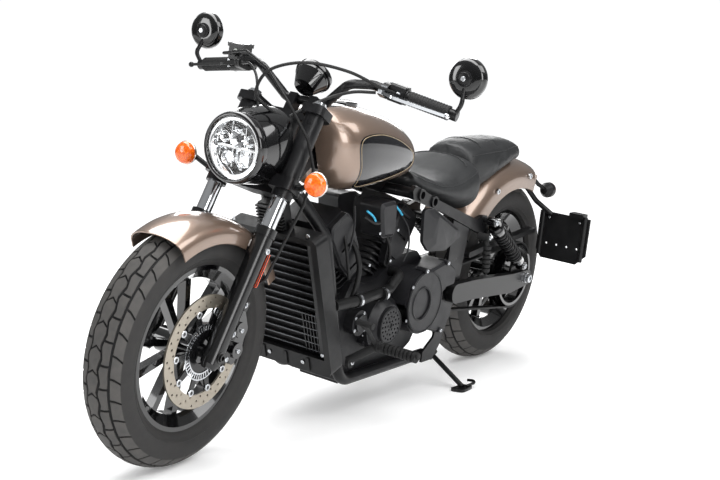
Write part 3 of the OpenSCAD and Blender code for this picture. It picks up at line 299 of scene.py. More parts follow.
# Vacuum-metallised lamp reflector
reflector_metal = finish("metallised_reflector", "#eef0f2", "#f6f7f8", 0.06, 0.02, metal=1.0, grain=8.0,
                         relief=0.002)
print("common finishes made:", len(bpy.data.materials))

# %% [markdown]
# ## Finishes that need their own recipe
# Metallic paint is a metal-flake base under clear lacquer. The brake rotor is ground steel with a black carrier
# inside it, one node with two finishes, so its shader measures the distance from the axle. The fork does the
# same along its legs: black sliders below, chrome tubes above.


# %% Measuring inside a shader
def own_axes(tree, place, to_row, origin):
    """Object coordinates brought into a part's own frame in mm, as X, Y and Z sockets."""
    at = to_row(np.array([origin]))[0]
    axes = np.array([to_row(np.array([origin + e]))[0] - at for e in 1000 * np.eye(3)]).T
    moved = add(tree, "Mapping", {"Vector": place, "Location": tuple(at),
                                  "Rotation": tuple(Matrix(axes.tolist()).to_euler())}, vector_type="TEXTURE")
    in_mm = add(tree, "VectorMath", {0: moved.outputs["Vector"], 3: 1000.0}, operation="SCALE")
    return add(tree, "SeparateXYZ", {"Vector": in_mm.outputs["Vector"]}).outputs


def step(tree, value, edge, soft=0.6):
    """0 below the edge and 1 above it, in mm, over a soft band."""
    return ramp(tree, value, 0.0, 1.0, edge - soft, edge + soft)


def blend_two(name, first, second, mask_of):
    """Two finishes in one, each its colour, metal and roughness, mixed by the mask of mask_of(tree, place)."""
    made, tree, shader, place = start(name)
    mask = mask_of(tree, place)
    faint = calc(tree, "MULTIPLY", noise(tree, place, 30.0, 3.0), 0.08)
    feed(tree, shader, {
        "Base Color": mix(tree, faint, mix(tree, mask, first[0], second[0]), "#303030"),
        "Metallic": ramp(tree, mask, first[1], second[1]), "Roughness": ramp(tree, mask, first[2], second[2]),
        "Normal": bump(tree, noise(tree, place, 900.0, 2.0), 0.00002)})
    return made


# %% Metallic paint
def flake_paint(name, colour, second):
    """Metallic basecoat: flakes of 0.7 mm tilt the normal a little, under clear coat."""
    made, tree, shader, place = start(name)
    flakes = add(tree, "TexVoronoi", {"Vector": place, "Scale": 1000 / 0.7}).outputs["Distance"]
    base = mix(tree, noise(tree, place, 5.0, 2.0), colour, second)
    light = add(tree, "HueSaturation", {"Color": base, "Value": ramp(tree, flakes, 0.88, 1.12)})
    feed(tree, shader, {
        "Base Color": light.outputs["Color"], "Normal": bump(tree, flakes, 0.00002, 0.5), "Metallic": 0.66,
        "Roughness": 0.3, "Coat Weight": 1.0, "Coat Roughness": COAT_ROUGH})
    return made


champagne = flake_paint("champagne_metallic_paint", "#7d6b5f", "#8a7566")

# %% Rotor, fork, swingarm and lever finishes
BLACK_SIDE, STEEL_SIDE, CHROME_SIDE = ("#0a0a0b", 0.0, 0.22), ("#a79f92", 0.85, 0.34), ("#d9dbde", 1.0, 0.07)
ROTOR_INNER_R, NUT_R = 112.6, 17.6
SLIDER_TOP, CLAMP_FOOT, CAP_FOOT = 350.5, 434, 704


def beyond(to_row, centre, radius):
    """Mask: 1 farther than radius mm from the axle's line, which runs along Y."""
    def mask(tree, place):
        own = own_axes(tree, place, to_row, centre)
        flat = add(tree, "CombineXYZ", {"X": own["X"], "Z": own["Z"]}).outputs["Vector"]
        return step(tree, add(tree, "VectorMath", {0: flat}, operation="LENGTH").outputs["Value"], radius)
    return mask


def tube_height(tree, place):
    """Mask: 1 between the slider's top and the lower clamp, where the tube is bare, and on the tube's cap."""
    own = own_axes(tree, place, forked, np.zeros(3))
    above, below, tip = (step(tree, own["Z"], z) for z in (SLIDER_TOP, CLAMP_FOOT, CAP_FOOT))
    return calc(tree, "ADD", calc(tree, "SUBTRACT", above, below), tip, True)


def axle_silver(tree, place):
    """Mask: 1 round the rear axle, where the nut and spindle are plated."""
    return calc(tree, "SUBTRACT", 1.0, beyond(parked, REAR_AXLE, NUT_R)(tree, place))


def left_blade(tree, place):
    """Mask: 1 ahead of the left grip, where the clutch blade runs."""
    own = own_axes(tree, place, left_bar, np.zeros(3))
    far = step(tree, calc(tree, "ABSOLUTE", own["X"]), 120)
    return calc(tree, "SUBTRACT", step(tree, own["X"], 33), far, True)


front_rotor = blend_two("front_ground_rotor", BLACK_SIDE, STEEL_SIDE,
                        beyond(steered, FRONT_AXLE, ROTOR_INNER_R))
rear_rotor = blend_two("rear_ground_rotor", BLACK_SIDE, STEEL_SIDE, beyond(parked, REAR_AXLE, ROTOR_INNER_R))
fork_finish = blend_two("fork_slider_and_tube", BLACK_SIDE, CHROME_SIDE, tube_height)
swingarm_finish = blend_two("swingarm_and_axle", ("#0e0e0f", 0.0, 0.36), ("#c2c4c7", 1.0, 0.28), axle_silver)
lever_finish = blend_two("controls_and_clutch_blade", ("#0d0d0e", 0.0, 0.4), ("#c9ccd0", 1.0, 0.16),
                         left_blade)


# %% Glass and signal lenses
def clear_part(name, colour, rough, ior, weight):
    """Transparent moulding: full transmission less the share that its pigment stops."""
    made, tree, shader, place = start(name)
    feed(tree, shader, {
        "Base Color": linear(colour), "Normal": bump(tree, noise(tree, place, 60.0, 1.0), 0.000002),
        "Roughness": rough, "IOR": ior, "Transmission Weight": weight})
    return made


def prism_lens(name, colour, glow, own_light=0.12):
    """Signal lens: saturated plastic with moulded prisms of 6 mm and a little light of its own from inside."""
    made, tree, shader, place = start(name)
    cells = add(tree, "TexVoronoi", {"Vector": place, "Scale": 1000 / 6.0}).outputs["Distance"]
    tone = mix(tree, cells, colour, glow)
    feed(tree, shader, {
        "Base Color": tone, "Emission Color": tone, "Emission Strength": own_light,
        "Normal": bump(tree, cells, 0.0008, 0.7), "Roughness": 0.14, "IOR": 1.49, "Coat Weight": 0.6})
    return made


lens_glass = clear_part("polycarbonate_lens", "#ffffff", 0.01, 1.1, 0.96)
amber_lens = prism_lens("amber_acrylic", "#d94405", "#f47a18")
red_reflector = prism_lens("orange_red_reflector", "#d9360c", "#f25a1e")


# %% Tyre, seat and radiator
def tread_rubber(name):
    """Tyre rubber: the mesh stores how high each point stands on the tread, from 0 in a groove to 1 on a block.
    Blocks are coloured a lighter grey and the grooves black; a mould grain of 0.9 mm covers both."""
    made, tree, shader, place = start(name)
    height = add(tree, "Attribute", attribute_name="tread").outputs["Fac"]
    grey = mix(tree, noise(tree, place, 45.0, 5.0), "#3a3a3a", "#524f4c")
    feed(tree, shader, {
        "Base Color": mix(tree, height, "#121213", grey), "Roughness": 0.72, "Specular IOR Level": 0.35,
        "Normal": bump(tree, noise(tree, place, 1100.0, 2.0), 0.0001, 0.6)})
    return made


def vinyl(name):
    """Seat cover: leather-grain vinyl, cells of 1.6 mm with rounded tops, soft sheen."""
    made, tree, shader, place = start(name)
    feeds = {"Vector": place, "Scale": 1000 / 1.6}
    cells = add(tree, "TexVoronoi", feeds, feature="SMOOTH_F1")
    cells.inputs["Smoothness"].default_value = 0.4
    slow = noise(tree, place, 28.0, 4.0)
    feed(tree, shader, {
        "Base Color": mix(tree, slow, "#1a1b1c", "#242526"),
        "Roughness": ramp(tree, slow, 0.42, 0.56, 0.3, 0.7),
        "Normal": bump(tree, cells.outputs["Distance"], 0.00018, 0.8, True), "Specular IOR Level": 0.4})
    return made


def louvre_core(name):
    """Radiator: black paint, and behind the louvres the core's folded fins, 3 mm apart, as a bump with painted light
    on their crests and painted shade between them.
    """
    made, tree, shader, place = start(name)
    across_core = own_axes(tree, place, parked, np.zeros(3))["Y"]
    ridge = calc(tree, "SINE", calc(tree, "MULTIPLY", across_core, 2 * math.pi / 3.0))
    feed(tree, shader, {
        # Painted light and shade: lighter colour on the fins' crests, darker in the gaps between them
        "Base Color": mix(tree, ramp(tree, ridge, 0.0, 1.0, -1.0), "#0b0b0c", "#1d1d1f"),
        "Normal": bump(tree, ridge, 0.0003, 0.5), "Roughness": 0.4})
    return made


tyre_rubber = tread_rubber("tyre_rubber")
seat_vinyl = vinyl("seat_vinyl")
seat_thread = finish("seat_thread", "#2a2a2b", "#343435", 0.7, grain=0.6, relief=0.08)
radiator_core = louvre_core("radiator_core")
print("finishes made:", len(bpy.data.materials))

# %% [markdown]
# ## Finishes for the frame's own nodes
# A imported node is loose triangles. A Weld modifier joins them, and an Edge Split keeps every edge sharper than
# 32 degrees crisp, so that round parts shade smoothly without moving a single vertex of the model.

# %% Table of nodes and finishes
FINISH_NODES = [
    (powder_coat, "frame_spine cradle_left cradle_right triple_clamps handlebar mirrors side_stand"),
    (cast_black, "crankcase front_cylinder rear_cylinder"),
    (cover_satin, "engine_covers pulley_cover side_covers"),
    (moulded_abs, "radiator_shroud belt_guard plate_holder rear_signals front_signals"),
    (hose_rubber, "coolant_hose drive_belt brake_hose"),
    (lacquer_black, "shocks gauge headlight_shell front_caliper front_rim rear_rim"),
    (champagne, "fuel_tank rear_fender front_fender"), (seat_vinyl, "seat pillion_pad"),
    (grip_rubber, "foot_controls passenger_pegs"), (fork_finish, "fork_left fork_right"),
    (tyre_rubber, "front_tyre rear_tyre"), (front_rotor, "front_disc"), (rear_rotor, "rear_disc"),
    (ceramic_black, "exhaust"), (swingarm_finish, "swingarm"), (lever_finish, "hand_controls"),
    (reflector_metal, "headlight"), (radiator_core, "radiator")]
NODE_FINISH = {name: material for material, names in FINISH_NODES for name in names.split()}
# Edges that stay crisp: on nodes and plain pieces, tyre tread, round lines, and smooth domes and skins
SPLIT_ANGLE, TREAD_SPLIT, TUBE_SPLIT, SOFT_SPLIT = (math.radians(angle) for angle in (32, 38, 50, 60))



def crisp(made, angle=SPLIT_ANGLE):
    """Smooth shading, with an Edge Split at every edge sharper than the angle."""
    made.data.polygons.foreach_set("use_smooth", np.ones(len(made.data.polygons), bool))
    made.modifiers.new("split", "EDGE_SPLIT").split_angle = angle


for name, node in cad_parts.items():
    node.data.materials.clear()
    node.data.materials.append(NODE_FINISH[name])
    node.modifiers.new("weld", "WELD").merge_threshold = 0.00001
    crisp(node)
print("nodes finished:", len(NODE_FINISH))

# %% [markdown]
# ## Making surfaces
# Every new piece is an array of points worked out at once. A grid of rows and columns becomes quads; a profile
# is turned about an axis, or carried along a path. Many small fasteners are one mesh, because each is the same
# few rings moved to its place.


# %% Grids and joined meshes
def grid_faces(rows, cols, wrap_rows=False, wrap_cols=False):
    """Quads of a rows x cols grid of vertices, wrapped round in either direction."""
    i = np.arange(rows if wrap_rows else rows - 1)[:, None]
    j = np.arange(cols if wrap_cols else cols - 1)[None, :]
    a, b = i * cols + j, i * cols + (j + 1) % cols
    c, d = ((i + 1) % rows) * cols + (j + 1) % cols, ((i + 1) % rows) * cols + j
    return np.stack([a, b, c, d], -1).reshape(-1, 4)


def piece(name, parts, material, body, split=SPLIT_ANGLE):
    """One object from parts, each (points in row metres, faces). Normals are made to point outwards."""
    points, faces, first = [], [], 0
    for p, f in parts:
        p, f = np.asarray(p, float).reshape(-1, 3), np.asarray(f)
        # Six times the volume about the part's middle: a negative one turns every face round
        q = p - p.mean(0)
        volume = sum(float((q[f[:, 0]] * np.cross(q[f[:, k]], q[f[:, k + 1]])).sum())
                     for k in range(1, f.shape[1] - 1))
        points.append(p)
        faces.append((f if volume > 0 else f[:, ::-1]) + first)
        first += len(points[-1])
    points = np.concatenate(points)
    loops = np.concatenate([f.reshape(-1) for f in faces])
    sizes = np.concatenate([np.full(len(f), f.shape[1]) for f in faces])
    mesh = bpy.data.meshes.new(name)
    mesh.vertices.add(len(points))
    mesh.vertices.foreach_set("co", points.astype(np.float32).reshape(-1))
    mesh.loops.add(len(loops))
    mesh.loops.foreach_set("vertex_index", loops.astype(np.int32))
    mesh.polygons.add(len(sizes))
    mesh.polygons.foreach_set("loop_start", np.concatenate([[0], np.cumsum(sizes)[:-1]]).astype(np.int32))
    mesh.polygons.foreach_set("loop_total", sizes.astype(np.int32))
    mesh.update(calc_edges=True)
    mesh.validate()
    mesh.materials.append(material)
    made = bpy.data.objects.new(name, mesh)
    bpy.context.scene.collection.objects.link(made)
    crisp(made, split)
    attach(made, body)
    return made


def shell(rings, wrap_rows=False):
    """A closed tube from rings (rows x cols x 3). A middle point closes each end, unless the rows wrap round."""
    rows, cols = rings.shape[:2]
    quads = grid_faces(rows, cols, wrap_rows, True)
    if wrap_rows:
        return [(rings, quads)]
    points = np.concatenate([rings.reshape(-1, 3), rings[:1].mean(1), rings[-1:].mean(1)])
    j = np.arange(cols)
    k = (j + 1) % cols
    n = rows * cols
    low = np.stack([np.full(cols, n), k, j], -1)
    high = np.stack([np.full(cols, n + 1), n - cols + j, n - cols + k], -1)
    return [(points, np.concatenate([quads[:, [0, 1, 2]], quads[:, [0, 2, 3]], low, high]))]


def placed(grid, to_row):
    """A grid of points carried by a mover."""
    return to_row(grid.reshape(-1, 3)).reshape(grid.shape)


def in_axes(at, axes, to_row):
    """A mover for points given from a place along three axes, which are rows."""
    return lambda p: to_row(np.asarray(at, float) + p @ np.asarray(axes, float))


def about_y(angle):
    """Axes turned about Y by an angle from X towards Z, as rows."""
    c, s = math.cos(angle), math.sin(angle)
    return np.array([(c, 0, s), (0, 1, 0), (-s, 0, c)])


def unit(v):
    """Each row over its length."""
    return v / np.linalg.norm(v, axis=-1, keepdims=True)


def basis(axis):
    """Two unit vectors square to an axis, and the axis itself, as rows."""
    n = np.asarray(axis, float) / np.linalg.norm(axis)
    u = np.cross([0, 0, 1.0] if abs(n[2]) < 0.9 else [1.0, 0, 0], n)
    u /= np.linalg.norm(u)
    return np.array([u, np.cross(n, u), n])


def turned(profile, at, axis, to_row, sides=32, hoop=False):
    """Profile rows (along, radius) in mm turned about an axis through at: p = at + r cos t u + r sin t v + a n.
    A hoop's profile is a closed loop, which leaves the middle open."""
    u, v, n = basis(axis)
    t = np.linspace(0, 2 * math.pi, sides, endpoint=False)
    prof = np.asarray(profile, float)
    ring = np.cos(t)[:, None] * u + np.sin(t)[:, None] * v
    rings = np.asarray(at, float) + prof[:, None, 1:2] * ring[None] + prof[:, None, 0:1] * n
    return shell(placed(rings, to_row), hoop)


def smooth_path(points, count):
    """Catmull-Rom curve through points: each span is the cubic with tangents (next - previous) / 2."""
    p = np.asarray(points, float)
    p = np.concatenate([[2 * p[0] - p[1]], p, [2 * p[-1] - p[-2]]])
    s = np.linspace(0, len(p) - 3 - 1e-9, count)
    i = s.astype(int)
    f = (s - i)[:, None]
    a, b, c, d = p[i], p[i + 1], p[i + 2], p[i + 3]
    return b + 0.5 * f * (c - a + f * (2 * a - 5 * b + 4 * c - d + f * (3 * (b - c) + d - a)))


def tube(path, radius, u, v, to_row, sides):
    """Round sections of a path: p + r (cos a u + sin a v), where radius is one number or one for each point."""
    a = np.linspace(0, 2 * math.pi, sides, endpoint=False)[None, :, None]
    ring = np.cos(a) * u[:, None] + np.sin(a) * v[:, None]
    return shell(placed(path[:, None] + np.reshape(radius, (-1, 1, 1)) * ring, to_row))


def swept(points, radius, to_row, count=60, sides=14):
    """A round section carried along a smooth path; radius is one number or one for each given point."""
    path = smooth_path(points, count)
    r = np.interp(np.linspace(0, 1, count), np.linspace(0, 1, len(np.atleast_1d(radius))),
                  np.atleast_1d(radius))
    tangent = unit(np.gradient(path, axis=0))
    side = np.cross(tangent, basis(tangent[0])[0])
    # The first side vector is carried on by taking out each new tangent's share
    carried = [unit(side[0])]
    for t in tangent[1:]:
        carried.append(unit(carried[-1] - t * (carried[-1] @ t)))
    u = np.array(carried)
    return tube(path, r, u, np.cross(tangent, u), to_row, sides)


def hex_screw(at, axis, r, to_row):
    """Socket-cap screw head: chamfered rim and a hollow of half its radius, all as one turned profile."""
    h = 0.62 * r
    profile = [(-0.4, r), (h * 0.8, r), (h, 0.82 * r), (h, 0.5 * r), (h * 0.35, 0.46 * r)]
    return turned(profile, at, axis, to_row, 18)


LEFT, RIGHT, AHEAD, UP = (np.array(v) for v in ((0, 1.0, 0), (0, -1.0, 0), (1.0, 0, 0), (0, 0, 1.0)))
SIDES = ((1, "left"), (-1, "right"))
print("surface makers ready")

# %% [markdown]
# ## Tyres
# A tread pattern is cut across and along the crown. The grid's columns lie on the cross grooves and its rows on
# the long ones, so every groove has two straight walls and a flat floor, and no block edge is jagged. The cross
# grooves lean back from the middle as chevrons, and the long ones zigzag once in each pitch.

# %% Tread grid
GROOVE_DEPTH, GROOVE_HALF, GROOVE_WALL = 4.2, 2.3, 1.1
# The sidewall's colour goes this share of the way from the grooves' black towards the blocks' grey
CHEVRON_SLOPE, CHEVRON_WAVE, ZIGZAG, ZIGZAG_REACH, SIDEWALL_TONE = 0.42, 5.0, 3.2, 16, 0.28


def groove_samples(places):
    """Two floor and two top samples for each groove centre, and one in the middle of each block."""
    edge = GROOVE_HALF + GROOVE_WALL
    cuts = np.concatenate([[p - edge, p - GROOVE_HALF, p + GROOVE_HALF, p + edge] for p in places])
    return cuts, np.tile([1.0, 0.0, 0.0, 1.0], len(places))


def tyre_skin(name, outer, width, rim_half_w, centre, to_row, body, blocks, long_grooves, tread_edge):
    """Crown: r = outer - 0.98 h (1 - cos a), y = h sin a with h = width / 2 and a = v / h, where v is the arc from
    the middle. Angle about the axle = (u * pitch - lag(v)) / outer, with u counted in blocks."""
    half = width / 2
    pitch = 2 * math.pi * outer / blocks
    # Across: grooves at each long one, then the smooth sidewall down to the bead
    cuts, tops = groove_samples(long_grooves)
    mids = np.array([0.0] + [(a + b) / 2 for a, b in zip(long_grooves,
                                                         list(long_grooves[1:]) + [tread_edge])])
    v = np.concatenate([mids, cuts, [tread_edge, tread_edge + 3.0]])
    open_v = np.concatenate([np.ones(len(mids)), tops, [1.0, 0.0]])
    order = np.argsort(v)
    v, open_v = v[order], open_v[order]
    rib = np.searchsorted(np.array(long_grooves), v) % 2
    sidewall = np.linspace(v[-1] + 5, half * math.radians(92), 9)
    a = np.concatenate([v, sidewall]) / half
    r, y = outer - 0.98 * half * (1 - np.cos(a)), half * np.sin(a)
    # Below the widest point: in a curve to the rim's flange, with a rim rib, and into its seat
    low = np.array([(r[-1] - 7, half - 0.6), (r[-1] - 14, half - 3.2), (r[-1] - 15, half - 2.4),
                    (r[-1] - 18, half - 3.8),
                    (r[-1] - 19, half - 5.6), (r[-1] - 27, half - 11), (218.2, rim_half_w + 1.5),
                    (216.5, rim_half_w - 3),
                    (204.3, rim_half_w - 8.5)])
    r, y = np.concatenate([r, low[:, 0]]), np.concatenate([y, low[:, 1]])
    full = len(r)
    height = np.concatenate([open_v, np.zeros(full - len(v))])
    rib = np.concatenate([rib, np.zeros(full - len(v), int)])
    on_tread = np.concatenate([v <= tread_edge, np.zeros(full - len(v), bool)])
    # Around: both sets of cross grooves have samples, because neighbouring ribs are half a block apart
    cuts_u, tops_u = groove_samples([0.0, pitch / 2])
    at_u = np.concatenate([cuts_u, [pitch / 4, 3 * pitch / 4]]) % pitch
    zero_u = np.concatenate([tops_u[:4], np.ones(4), [1, 1]])
    half_u = np.concatenate([np.ones(4), tops_u[4:], [1, 1]])
    order = np.argsort(at_u)
    at_u, zero_u, half_u = at_u[order], zero_u[order], half_u[order]
    u = (np.arange(blocks)[:, None] * pitch + at_u[None]).reshape(-1)
    cross = np.stack([np.tile(zero_u, blocks), np.tile(half_u, blocks)])
    # Both halves of the section, from the left bead over the crown to the right one
    side = np.concatenate([-np.ones(full - 1), np.ones(full)])
    index = np.concatenate([np.arange(full)[:0:-1], np.arange(full)])
    rr, yy, hh, ribs, tread = r[index], y[index] * side, height[index], rib[index], on_tread[index]
    vv = np.concatenate([v, np.full(full - len(v), v[-1])])[index]
    lag = CHEVRON_SLOPE * vv + CHEVRON_WAVE * np.sin(vv / tread_edge * 2 * math.pi)
    block = np.where(tread[None], np.minimum(hh[None], cross[ribs].T), hh[None])
    zig = 2 * np.abs(2 * ((u / pitch + 0.25) % 1) - 1) - 1
    near = np.exp(-((vv - long_grooves[0]) / ZIGZAG_REACH) ** 2) * tread
    shift = ZIGZAG * zig[:, None] * near[None] * side[None]
    arc = shift / half
    sink = GROOVE_DEPTH * (1 - block) * np.where(tread, 1, 0)[None]
    angle_v = np.arctan2(yy / half, 1 - (outer - rr) / (0.98 * half))[None] + arc
    moved_r = np.where(tread[None], outer - 0.98 * half * (1 - np.cos(angle_v)) - sink * np.cos(angle_v),
                       rr[None])
    moved_y = np.where(tread[None], (half - sink) * np.sin(angle_v), yy[None])
    theta = (u[:, None] - lag[None]) / outer
    p = np.stack([moved_r * np.cos(theta), moved_y, moved_r * np.sin(theta)], -1) + centre
    faces = grid_faces(len(u), len(rr), True, True)
    made = piece(name, [(placed(p, to_row), faces)], tyre_rubber, body, TREAD_SPLIT)
    stored = made.data.attributes.new("tread", "FLOAT", "POINT")
    # Colour from black in the grooves to grey on the blocks, and the sidewall between them
    tread_tone = np.where(tread[None], block, SIDEWALL_TONE)
    stored.data.foreach_set("value", tread_tone.astype(np.float32).reshape(-1))
    print(name, "blocks", blocks, "pitch", round(pitch, 1), "mm, faces", len(made.data.polygons))
    return made


front_skin = tyre_skin("front_tyre_skin", FRONT_TYRE_R, FRONT_TYRE_W, 44, FRONT_AXLE, steered, "front_wheel",
                       34,
                       (17.0, 43.0), 70.0)
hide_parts("front_tyre")
rear_skin = tyre_skin("rear_tyre_skin", REAR_TYRE_R, REAR_TYRE_W, 50, REAR_AXLE, parked, "rear_wheel", 32,
                      (20.0, 50.0), 80.0)
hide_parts("rear_tyre")

# %% [markdown]
# ## The fuel tank
# The tank is a row of upright sections, each a superellipse: rounder at its ends, squarer in the middle. The
# same ten sections as the solid's, joined by a smooth curve instead of flats, give a skin that reflects cleanly.
# Its black side panels and top stripe are thin skins of their own that lie on it, and the side panels are edged by a
# fine line.

# %% Sections and the skin between them
TANK_ROWS = np.array([
    [336, 878, 802, 34, 2.2], [330, 893, 772, 62, 2.2], [312, 908, 722, 100, 2.3],
    [270, 920, 688, 130.2, 2.4],
    [203, 922, 680, 140, 2.5], [110, 908, 684, 137.9, 2.5], [20, 884, 690, 128.8, 2.4],
    [-50, 852, 696, 114.8, 2.3],
    [-84, 826, 708, 92.4, 2.2], [-98, 800, 726, 56, 2.1]])


def rounded(wave, e):
    """sign(wave) |wave| ** e, which squares off the cosine or sine of a circle."""
    return np.sign(wave) * np.abs(wave) ** e


def section_skin(rows, count=90, sides=96):
    """Section i: y = w sign(cos a) |cos a| ** (2 / n), z = middle + h sign(sin a) |sin a| ** (2 / n), rows joined by
    Catmull-Rom. Returns a count x sides x 3 grid in the upright drawing."""
    spaced = smooth_path(rows, count)
    a = np.linspace(0, 2 * math.pi, sides, endpoint=False)[None]
    e = (2 / spaced[:, 4])[:, None]
    c, s = np.cos(a), np.sin(a)
    y = spaced[:, 3:4] * rounded(c, e)
    z = (spaced[:, 1:2] + spaced[:, 2:3]) / 2 + (spaced[:, 1:2] - spaced[:, 2:3]) / 2 * rounded(s, e)
    return np.stack([np.broadcast_to(spaced[:, :1], y.shape), y, z], -1)


def section_at(rows, x, dense=400):
    """Top, bottom, half width and squareness of a table's section at x."""
    spaced = smooth_path(rows, dense)[::-1]
    return [np.interp(x, spaced[:, 0], spaced[:, k]) for k in (1, 2, 3, 4)]


def tank_side(x, z):
    """How far out the tank's left side is at x, z."""
    high, low, w, n = section_at(TANK_ROWS, x)
    level = np.clip(np.abs((z - (high + low) / 2) / ((high - low) / 2)), 0, 1)
    return w * (1 - level ** n) ** (1 / n)


def tank_top(x, y):
    """How high the tank is at x, y."""
    high, low, w, n = section_at(TANK_ROWS, x)
    return (high + low) / 2 + (high - low) / 2 * (1 - np.clip(np.abs(y) / w, 0, 1) ** n) ** (1 / n)


def over_backbone(p):
    """Lifts the tank's underside over the frame tube, with sides that slope for 14 mm."""
    tunnel = np.interp(p[..., 0], [-110, -70, 330, 400], [700, 712, 812, 846])
    roof = tunnel - 3.0 * np.clip(np.abs(p[..., 1]) - 33, 0, None) ** 1.5
    p[..., 2] = np.maximum(p[..., 2], roof)
    return p


skin = over_backbone(section_skin(TANK_ROWS, 110, 128))
tank = piece("tank_skin", shell(placed(skin, parked)), champagne, "chassis", SOFT_SPLIT)
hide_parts("fuel_tank")
CAP_AT = np.array([170.0, 0, 905])
CAP = [(0, 36), (16, 38), (21, 38), (24, 35), (23, 30), (24, 28), (24, 0.5)]
piece("fuel_cap", turned(CAP, CAP_AT, UP, parked, 64), lacquer_black, "chassis")
print("tank skin faces", len(tank.data.polygons))


# %% Panels on the skin
def patch(name, outline, centre, reach, material, rings=26, turns=180):
    """A skin over a closed outline: points centre + t (outline - centre) for t from 0 to 1, laid on the tank by
    reach(p, lift). It stands 0.9 mm proud, and its rim turns down into the paint."""
    loop = smooth_path(np.vstack([outline, outline[:1]]), turns + 1)[:-1]
    t = np.concatenate([np.linspace(0, 1, rings), [1.0]]) ** 0.8
    lift = np.concatenate([np.full(rings, 0.9), [-1.2]])
    grid = np.asarray(centre) + t[:, None, None] * (loop[None] - np.asarray(centre))
    p = reach(grid, lift[:, None])
    piece(name, [(placed(p, parked), grid_faces(rings + 1, turns, False, True))], material, "chassis")
    return loop


def on_side(sign):
    """Lays outline points x, z on the tank's left or right side, lift mm proud."""
    def reach(grid, lift):
        x, z = grid[..., 0], grid[..., 1]
        return np.stack([x, sign * (tank_side(x, z) + lift), z], -1)
    return reach


def on_top(grid, lift):
    """Lays outline points x, y on the tank's top, lift mm proud."""
    x, y = grid[..., 0], grid[..., 1]
    return np.stack([x, y, tank_top(x, y) + lift], -1)


SIDE_PANEL = np.array([
    [258, 790], [262, 822], [252, 843], [222, 853], [170, 855], [120, 849], [60, 834], [10, 816], [-32, 796],
    [-52, 776],
    [-46, 752], [-6, 733], [60, 719], [120, 709], [170, 701], [204, 697], [226, 702], [238, 722],
    [248, 756]], float)
PANEL_MIDDLE = np.array([130.0, 782.0])
TOP_STRIPE = np.array([
    [300, 0], [292, 22], [262, 36], [200, 40], [130, 36], [60, 27], [0, 15], [-40, 6], [-62, 0], [-40, -6],
    [0, -15],
    [60, -27], [130, -36], [200, -40], [262, -36], [292, -22]], float)
black_weave = finish("lacquered_black_panel", "#070708", "#15151a", 0.14, 0.03, grain=2.5, relief=0.004,
                     mottle=9, coat=1.0)
gold_line = finish("pinstripe_enamel", "#8f7c5e", "#a08c6c", 0.3, grain=2.0, relief=0.01, coat=0.6)
for sign, label in SIDES:
    loop = patch("tank_panel_" + label, SIDE_PANEL, PANEL_MIDDLE, on_side(sign), black_weave)
    edge = PANEL_MIDDLE + 0.955 * (loop - PANEL_MIDDLE)
    line = on_side(sign)(np.vstack([edge, edge[:1]])[::3], 0.9)
    piece("panel_line_" + label, swept(line, 1.1, parked, 220, 6), gold_line, "chassis")
patch("tank_top_stripe", TOP_STRIPE, (130.0, 0.0), on_top, black_weave)
print("tank panels laid")

# %% [markdown]
# ## Seat and pillion pad
# Both are foam under grained vinyl. Each starts as the solid's own sections, drawn in a little, and is then blown
# up by a short cloth run, as a cover pulls over foam. Afterwards it is pressed back off the rails, the mudguard
# and the tank, and the welt and the stitches are laid on the finished surface by finding its nearest points.

# %% Foam shapes
SEAT_ROWS = np.array([
    [-84, 734, 682, 72, 2.2], [-100, 735, 672, 104, 2.3], [-140, 713, 655, 128, 2.4],
    [-210, 691, 635, 149, 2.5],
    [-290, 701, 611, 160, 2.6], [-360, 731, 593, 160, 2.6], [-408, 753, 580, 153, 2.5],
    [-432, 740, 594, 137, 2.3]])
PAD_ROWS = np.array([
    [-444, 762, 646, 74, 2.2], [-460, 781, 636, 92, 2.4], [-520, 791, 626, 101, 2.6],
    [-640, 789, 664, 103, 2.6],
    [-740, 789, 704, 99, 2.6], [-774, 779, 710, 89, 2.4], [-788, 762, 718, 70, 2.2]])
RAIL_X, RAIL_Z, RAIL_CLEAR = -45, 673, 21.0
RAIL_SLOPE = (RAIL_Z - 520) / (RAIL_X + 481)
GUARD_CLEAR_R = 402.5


def row_to_upright(p):
    """The inverse of parked()."""
    return (np.asarray(p) * 1000 - [0, -SIDE_SHIFT, LIFT]) @ LEANED


def off_neighbours(p, behind):
    """Keeps upright points above the rails, outside the mudguard's round and behind the tank's tail."""
    p = p.copy()
    p[:, 2] = np.maximum(p[:, 2], RAIL_Z + RAIL_SLOPE * (p[:, 0] - RAIL_X) + RAIL_CLEAR)
    d = p[:, [0, 2]] - REAR_AXLE[[0, 2]]
    far = np.linalg.norm(d, axis=1)
    near = far < GUARD_CLEAR_R
    p[near, 0] = REAR_AXLE[0] + d[near, 0] / far[near] * GUARD_CLEAR_R
    p[near, 2] = REAR_AXLE[2] + d[near, 1] / far[near] * GUARD_CLEAR_R
    p[:, 0] = np.minimum(p[:, 0], behind(p))
    return p


def tail_line(p):
    """The seat's nose stops at the tank's tail, except below it."""
    return np.where(p[:, 2] > 700, -99.5 + 0.25 * np.clip(p[:, 1] ** 2 / 400, 0, 60), -80.0)


def seat_front(p):
    """The pad's front stays behind the seat's back, 1 mm clear."""
    return np.full(len(p), -441.0)


SWELL_CAP, VOXEL, PRESSURE, CLOTH_FRAMES = 0.006, 0.0055, 4, 20


def coordinates(mesh):
    """A mesh's points as rows."""
    flat = np.empty(len(mesh.vertices) * 3, np.float32)
    mesh.vertices.foreach_get("co", flat)
    return flat.reshape(-1, 3).astype(float)


